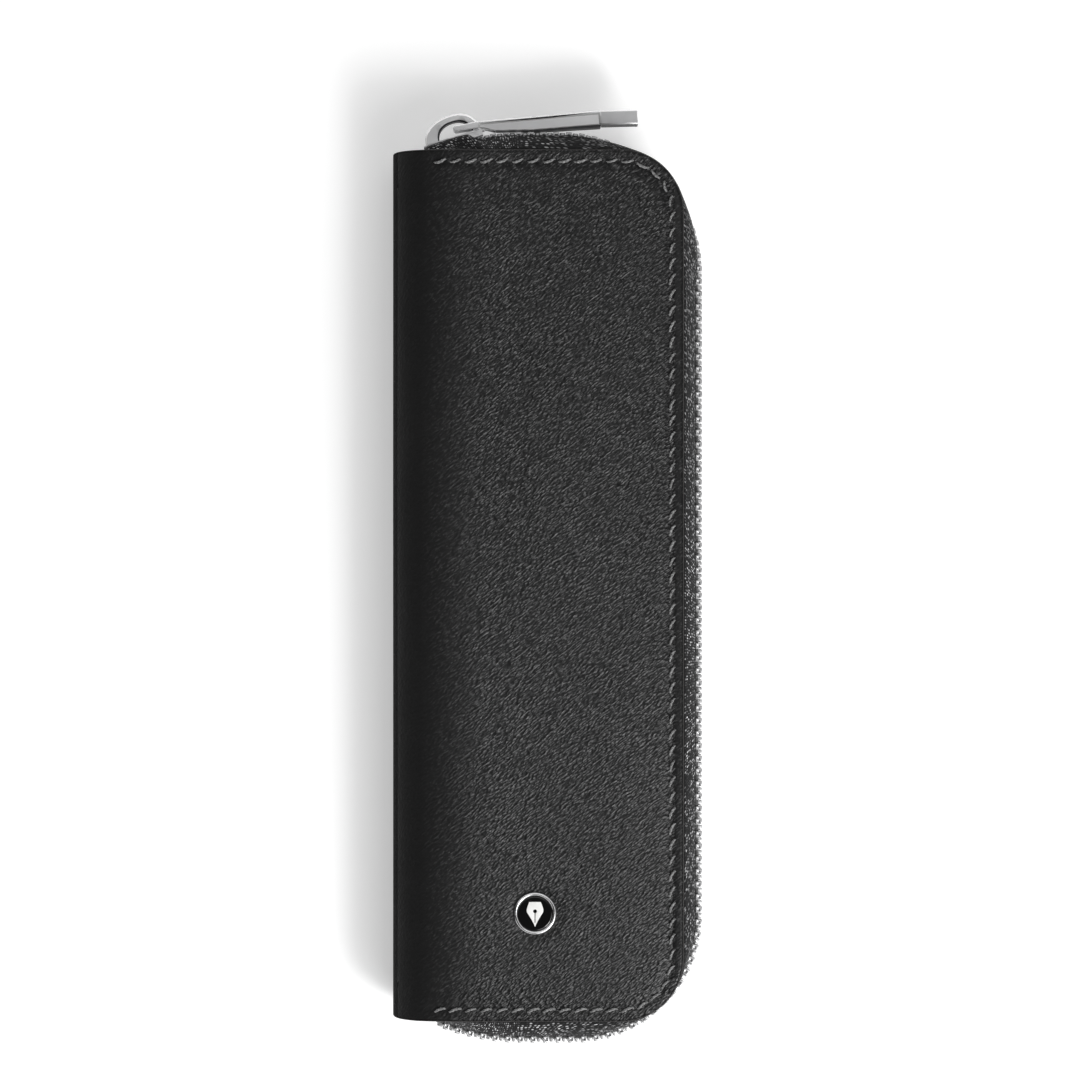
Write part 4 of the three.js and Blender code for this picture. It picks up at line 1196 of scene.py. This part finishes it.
def pull_pieces():
    """A long pull: a bar with an eye round the crown, a solid end, a painted shadow line along both sides
    and a rib of painted shade under the bar."""
    bar = PULL_LENGTH - PULL_BLOCK
    half = PULL_WIDTH / 2
    core = half - PULL_REBATE
    plate = PULL_LINE + PULL_LINE_WIDTH
    pull = pull_bar(bar, half, core, plate)
    # Painted shadow: thin dark strips in the grooves under the face plate.
    line = rectangle(PULL_REBATE_START + 0.1, PULL_LINE, bar - 0.1, plate + 0.02)
    line_top = prism("pull_painted_shadow_line_top", line, core - 0.15, core + PROUD, PAINTED_SHADE_METAL)
    line_low = prism("pull_painted_shadow_line_low", line, -core - PROUD, 0.15 - core, PAINTED_SHADE_METAL)
    face, under = PULL_FACE + 0.02, PULL_BACK - 0.08
    sides = [(bar, face), (PULL_LENGTH, face - PULL_BLOCK_SLOPE)]
    sides += [(PULL_LENGTH, under - PULL_BLOCK_SLOPE), (bar, under)]
    end = prism("pull_end_block", sides, -half - 0.1, half + 0.1, BLASTED_METAL)
    # Painted highlight: the end block's rounded edges take the near-white metal.
    bevel(end, 0.24, 1, 30, PAINTED_HIGHLIGHT_METAL)
    # Painted shade on the end block's inward faces.
    shade_underside(end)
    # Painted shade: a dark rib fills the shadow under the bar.
    keel = [(8.6, -1.05), (14.8, -1.5), (bar, PULL_BACK + 0.1)]
    keel += [(bar, PULL_BACK - 0.5), (14.8, PULL_BACK - 0.15)]
    rib = prism("pull_painted_shade_rib", keel, 1 - half, half - 1, PAINTED_SHADE_METAL)
    return pull, end, rib, line_top, line_low


# ---- Emblem ----


def emblem_pieces():
    """A polished ring round a black enamel disc with a raised white nib."""
    r = EMBLEM_RADIUS
    inner = r - 0.62
    ring = [
        (inner, 0.0), (inner, 0.3), (inner + 0.05, 0.44), (inner + 0.17, 0.53), (inner + 0.31, 0.55),
        (r - 0.17, 0.5), (r - 0.05, 0.36), (r, 0.15), (r, -0.2), (inner, -0.2), (inner, 0.0),
    ]
    bezel = turned("emblem_bezel_ring", ring, CHROME)
    dish = [(0, 0.36)] + [(inner * t, 0.36 - 0.1 * t**3) for t in (0.25, 0.5, 0.75, 0.9, 0.99)]
    disc = turned("emblem_enamel_disc", dish + [(inner - 0.01, -0.1), (0, -0.1)], BLACK_ENAMEL)
    pieces = [bezel, disc, emblem_nib()]
    for piece in pieces:
        piece.data.transform(Matrix.Translation(Vector((EMBLEM_X, EMBLEM_Y, TOP_Z - 0.12)) * MM))
    return pieces


def emblem_nib():
    """A plain pen nib, point down, with a breather hole and a slit."""
    right = [
        *bezier((0.0, -2.5), (0.3, -1.7), (0.95, -0.6), (1.5, 0.2), 10),
        *bezier((1.5, 0.2), (1.75, 0.8), (1.3, 1.6), (1.1, 2.2), 6)[1:],
    ]
    outline = [tuple(p) for p in right] + [(-x, y) for x, y in reversed(right)][:-1]
    nib = prism("emblem_white_nib", outline, 0.28, 0.52, WHITE_ENAMEL)
    turn = np.linspace(0, 2 * math.pi, 25)[:-1]
    hole = [(0.36 * math.cos(a), 0.45 + 0.36 * math.sin(a)) for a in turn]
    slit = rectangle(-0.08, -1.7, 0.08, 0.3)
    carve(nib, cutter(hole, 0.1, 1), cutter(slit, 0.1, 1))
    bevel(nib, 0.06, 3, 40)
    return nib


# ---- Inside ----


def lining_section():
    """The lining lies on the board, then steps down to the leather and follows it to the spine."""
    along_leather = spine_curve(LEATHER + 0.12)
    start = along_leather[along_leather[:, 0] < -20.6]
    board_top = MIDDLE_Z - 2.9
    onward = start[-1] + (start[-1] - start[-2]) * 2.2
    step = bezier(start[-1], onward, (-19.6, board_top), (-17.4, board_top), 14)
    return Section(np.concatenate([start, step[1:]]))


def lining_half(side):
    """The lining and the size of the flat sheet that it is cut from."""
    right, end = EDGE_X - LINING_INSET, END_Y - LINING_INSET
    section = lining_section()
    outline = Outline(right, end, CORNER - LINING_INSET, section.start, 1.6, 12)
    rim = [(0.2, 0.0), (0.08, 0.1), (0.0, 0.3)]
    band = [0.5, 1.2, 2.4, 4.0, 6.0]

    def ease(q, y):
        d = np.minimum(right - q, end - np.abs(y))
        return -0.1 * (1 - smooth_step(d, 0.5, 3.5))

    name = SIDES[side] + "_lining_cloth"
    piece = cover_sheet(name, section, outline, side, LINING, rim, band, LINING_CLOTH, ease)
    return piece, (right - section.start, 2 * end)


def padding_half(side):
    name = SIDES[side]
    low, high = corner_mm(name + "_padding", 0), corner_mm(name + "_padding", 1)
    thick = high[2] - low[2] - 0.06
    top = high[2] if side > 0 else 2 * MIDDLE_Z - low[2]
    section = Section([(low[0] - 0.02, top - MIDDLE_Z - 0.03), (low[0], top - MIDDLE_Z - 0.03)])
    section.slope[:] = (1, 0)
    outline = Outline(high[0], high[1], 4.0, low[0], 3.0, 8)
    rim = [(0.15, 0.0), (0.04, 0.2)]
    return cover_sheet(name + "_foam_sheet", section, outline, side, thick, rim, [1.0, 2.5], FOAM)


def sleeve_arches():
    """The sleeve's corners, the half width of a channel, the channels' middles and the seams."""
    low, high = corner_mm("pen_sleeve", 0), corner_mm("pen_sleeve", 1)
    foot = SLEEVE_FOOT
    half = (high[0] - low[0] - 3 * foot) / 4
    centres = [low[0] + foot + half, low[0] + 2 * foot + 3 * half]
    feet = [low[0] + foot / 2 + i * (2 * half + foot) for i in range(3)]
    return low, high, half, centres, feet


def pen_sleeve():
    """Soft leather arched over two pens, a little slacker in the middle and turned at its ends."""
    low, high, half, centres, _ = sleeve_arches()
    base = low[2] + 0.02
    rise = high[2] - low[2] - SLEEVE - 0.25
    power = 2 / SLEEVE_POWER

    def line(inset, lift):
        points = [(low[0], base + lift)]
        for centre in centres:
            for t in np.linspace(0, 1, 41):
                angle = math.pi * (1 - t)
                x = math.copysign(abs(math.cos(angle)) ** power, math.cos(angle))
                up = rise * math.sin(angle) ** power
                points.append((centre + (half - inset) * x, base + lift + up))
        points.append((high[0], base + lift))
        return np.array(points)

    outer, inner = line(0.0, SLEEVE), line(SLEEVE, 0.0)
    rows = []
    ends = [(0.0, 0.42), (0.12, 0.16), (0.4, 0.0)]
    stations = [(low[1] + d, pinch) for d, pinch in ends]
    stations += [(y, 0.0) for y in np.linspace(low[1] + 1.5, high[1] - 1.5, 48)]
    stations += [(high[1] - d, pinch) for d, pinch in reversed(ends)]
    for y, pinch in stations:
        sag = 0.35 * math.sin(0.09 * (y - low[1])) ** 2
        top, under = outer.copy(), inner.copy()
        share_top = np.clip((top[:, 1] - base - SLEEVE) / rise, 0, 1)
        share_under = np.clip((under[:, 1] - base) / rise, 0, 1)
        top[:, 1] -= sag * share_top
        under[:, 1] -= sag * share_under
        middle = (top + under) / 2
        top += (middle - top) * pinch
        under += (middle - under) * pinch
        ring = np.concatenate([top, under[::-1]])
        rows.append(np.column_stack([ring[:, 0], np.full(len(ring), y), ring[:, 1]]))
    run = run_along(outer)
    across = np.concatenate([run, run[::-1]])
    uvs = np.concatenate([np.column_stack([across, r[:, 1]]) for r in rows])
    faces = strip_faces(len(rows), len(rows[0]))
    return make_piece("pen_sleeve_leather", np.concatenate(rows), faces, SLEEVE_CALF, uvs=uvs)


def sleeve_stitches(index, name):
    low, high, _, _, feet = sleeve_arches()
    top = corner_mm("sleeve_thread_" + name, 0)[2] + 0.1
    places = []
    x_axis, y_axis, z_axis = np.eye(3)
    tilt = math.radians(12)
    along = math.cos(tilt) * y_axis + math.sin(tilt) * x_axis
    for y in np.arange(low[1] + 3, high[1] - 2, STITCH_PITCH):
        places.append((np.array([feet[index], y, top]), along, np.cross(z_axis, along), z_axis))
    return stitch_row(f"sleeve_stitches_{name}", places, SLEEVE_THREAD, 2.2, 0.15)


# ---- Building and riding ----


def stand_in(piece, slot, *nodes, body=None):
    """Hides the CAD nodes that a piece stands for and hangs it on the body it rides on. The slot is not used.
    """
    if nodes:
        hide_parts(*nodes)
    if body:
        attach(piece, body)


def build_cover(side):
    """Everything of one cover, with the half of the leather and lining that bends into the spine."""
    name = SIDES[side]
    body = name + "_cover"

    def bend(piece):
        if side > 0:
            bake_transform(piece)
        else:
            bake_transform(piece)

    leather = leather_half(side)
    stand_in(leather, "leather", name + "_leather", "spine_leather")
    bend(leather)
    lining, flat = lining_half(side)
    stand_in(lining, "lining", name + "_lining", "spine_lining")
    bend(lining)
    padding = padding_half(side)
    stand_in(padding, "foam", name + "_padding", body=body)
    stand_in(edge_stitches(side), "edge_thread", name + "_edge_thread", body=body)
    stand_in(zip_tape(side), "zip_tape", "zip_tape_" + name, body=body)
    stand_in(tooth_row(side), "zip_metal", "zip_teeth_" + name, body=body)
    stand_in(zip_cord(side), "zip_tape", body=body)
    heights = sorted(side * (up + ROW_SPREAD) for up in (0.75, 2.35))
    stop = zip_stop(f"top_stop_{name}_pressed", *heights, 0.9, 0.3, 2.7)
    stand_in(stop, "zip_metal", "top_stop_" + name, body=body)
    frame["nodes"][name + "_board"].data.materials[0] = FIBRE_BOARD


def build_slider():
    centre = np.array([
        BEND_X - END_BEND * math.sin(SLIDER_TURN),
        BEND_Y + END_BEND * math.cos(SLIDER_TURN),
        MIDDLE_Z,
    ])
    nodes = "slider_body", "slider_crown", "slider_lock_spring"
    slots = "slider_metal", "slider_metal", "zip_metal"
    for piece, node, slot in zip(slider_pieces(), nodes, slots):
        place_at(piece, centre, SLIDER_TURN)
        stand_in(piece, slot, node, body="slider")
    for piece in pull_pieces():
        place_at(piece, PIVOT, PULL_TILT)
        stand_in(piece, "slider_metal", "pull_tab", body="pull")


def build_emblem():
    nodes = "emblem_bezel", "emblem_disc", "emblem_nib"
    slots = "bezel_chrome", "black_enamel", "white_enamel"
    for piece, node, slot in zip(emblem_pieces(), nodes, slots):
        stand_in(piece, slot, node, body="front_cover")
    frame["nodes"]["emblem_washer"].data.materials[0] = METAL_PLAIN


def build_inside():
    stand_in(pen_sleeve(), "sleeve_leather", "pen_sleeve", body="back_cover")
    for i, name in enumerate(("left", "middle", "right")):
        stand_in(sleeve_stitches(i, name), "sleeve_thread", "sleeve_thread_" + name, body="back_cover")
    start, end = CHAIN_LENGTH - 2.9, CHAIN_LENGTH - 0.2
    stop = zip_stop("bottom_stop_pressed", -2.3, 2.3, 1.3, start, end)
    stand_in(stop, "zip_metal", "bottom_stop", body="back_cover")


# ---- Studio ----


def area_light(name, place, target, size, power, size_y=None):
    data = bpy.data.lights.new(name, "AREA")
    data.shape = "RECTANGLE"
    data.size = size
    data.size_y = size_y or size
    data.energy = power
    light = bpy.data.objects.new(name, data)
    light.location = place
    light.rotation_mode = "QUATERNION"
    light.rotation_quaternion = (Vector(target) - Vector(place)).to_track_quat("-Z", "Y")
    bpy.context.scene.collection.objects.link(light)


def light_walls(tree):
    """White walls all round but for a black one beyond the spine, and a dark ceiling."""
    place = tree.nodes.new("ShaderNodeTexCoord").outputs["Generated"]
    parts = tree.nodes.new("ShaderNodeSeparateXYZ")
    tree.links.new(place, parts.inputs[0])

    def between(value, low, high, start, end):
        node = tree.nodes.new("ShaderNodeMapRange")
        node.interpolation_type = "SMOOTHSTEP"
        for key, level in zip(("From Min", "From Max", "To Min", "To Max"), (low, high, start, end)):
            node.inputs[key].default_value = level
        tree.links.new(value, node.inputs["Value"])
        return node.outputs[0]

    def reckon(operation, one, other):
        node = tree.nodes.new("ShaderNodeMath")
        node.operation = operation
        for socket, value in zip(node.inputs, (one, other)):
            if isinstance(value, bpy.types.NodeSocket):
                tree.links.new(value, socket)
            else:
                socket.default_value = value
        return node.outputs[0]

    lengthways = reckon("MULTIPLY", reckon("ABSOLUTE", parts.outputs[1], 0.0), 1.6)
    aside = reckon("ADD", parts.outputs[0], lengthways)
    below_ceiling = between(parts.outputs[2], 0.3, 0.65, 1.0, 0.0)
    wall = reckon("MULTIPLY", between(aside, -0.6, 0.0, 0.0, 1.0), below_ceiling)
    strength = reckon("MULTIPLY_ADD", wall, WALL_LIGHT)
    strength.node.inputs[2].default_value = CEILING_LIGHT
    background = tree.nodes["Background"]
    background.inputs[0].default_value = (1, 1, 1, 1)
    tree.links.new(strength, background.inputs[1])


def build_studio():
    scene = bpy.context.scene
    scene.view_settings.view_transform = "Standard"
    world = bpy.data.worlds.new("studio")
    world.use_nodes = True
    light_walls(world.node_tree)
    scene.world = world
    half = 3.0
    corners = [(-half, -half, 0), (half, -half, 0), (half, half, 0), (-half, half, 0)]
    floor = make_piece("floor", np.array(corners) / MM, [(0, 1, 2, 3)], FLOOR)
    area_light("key", (0.36, -0.43, 0.58), (0.0, 0.0, 0.01), 0.2, 2.6)
    area_light("key_softbox", (0.38, -0.45, 0.62), (0.0, 0.0, 0.01), 0.6, 4.6)
    area_light("top_softbox", (0.05, 0.38, 1.2), (0.0, 0.05, 0.0), 0.8, 2.4, size_y=0.7)
    camera_data = bpy.data.cameras.new("camera")
    camera_data.sensor_width = 36
    camera_data.lens = 123.6
    camera_data.clip_start = 0.02
    camera = bpy.data.objects.new("camera", camera_data)
    camera.location = (0, 0.0086, 0.722)
    scene.collection.objects.link(camera)
    scene.camera = camera


build_cover(1)
build_cover(-1)
build_slider()
build_emblem()
build_inside()
build_studio()
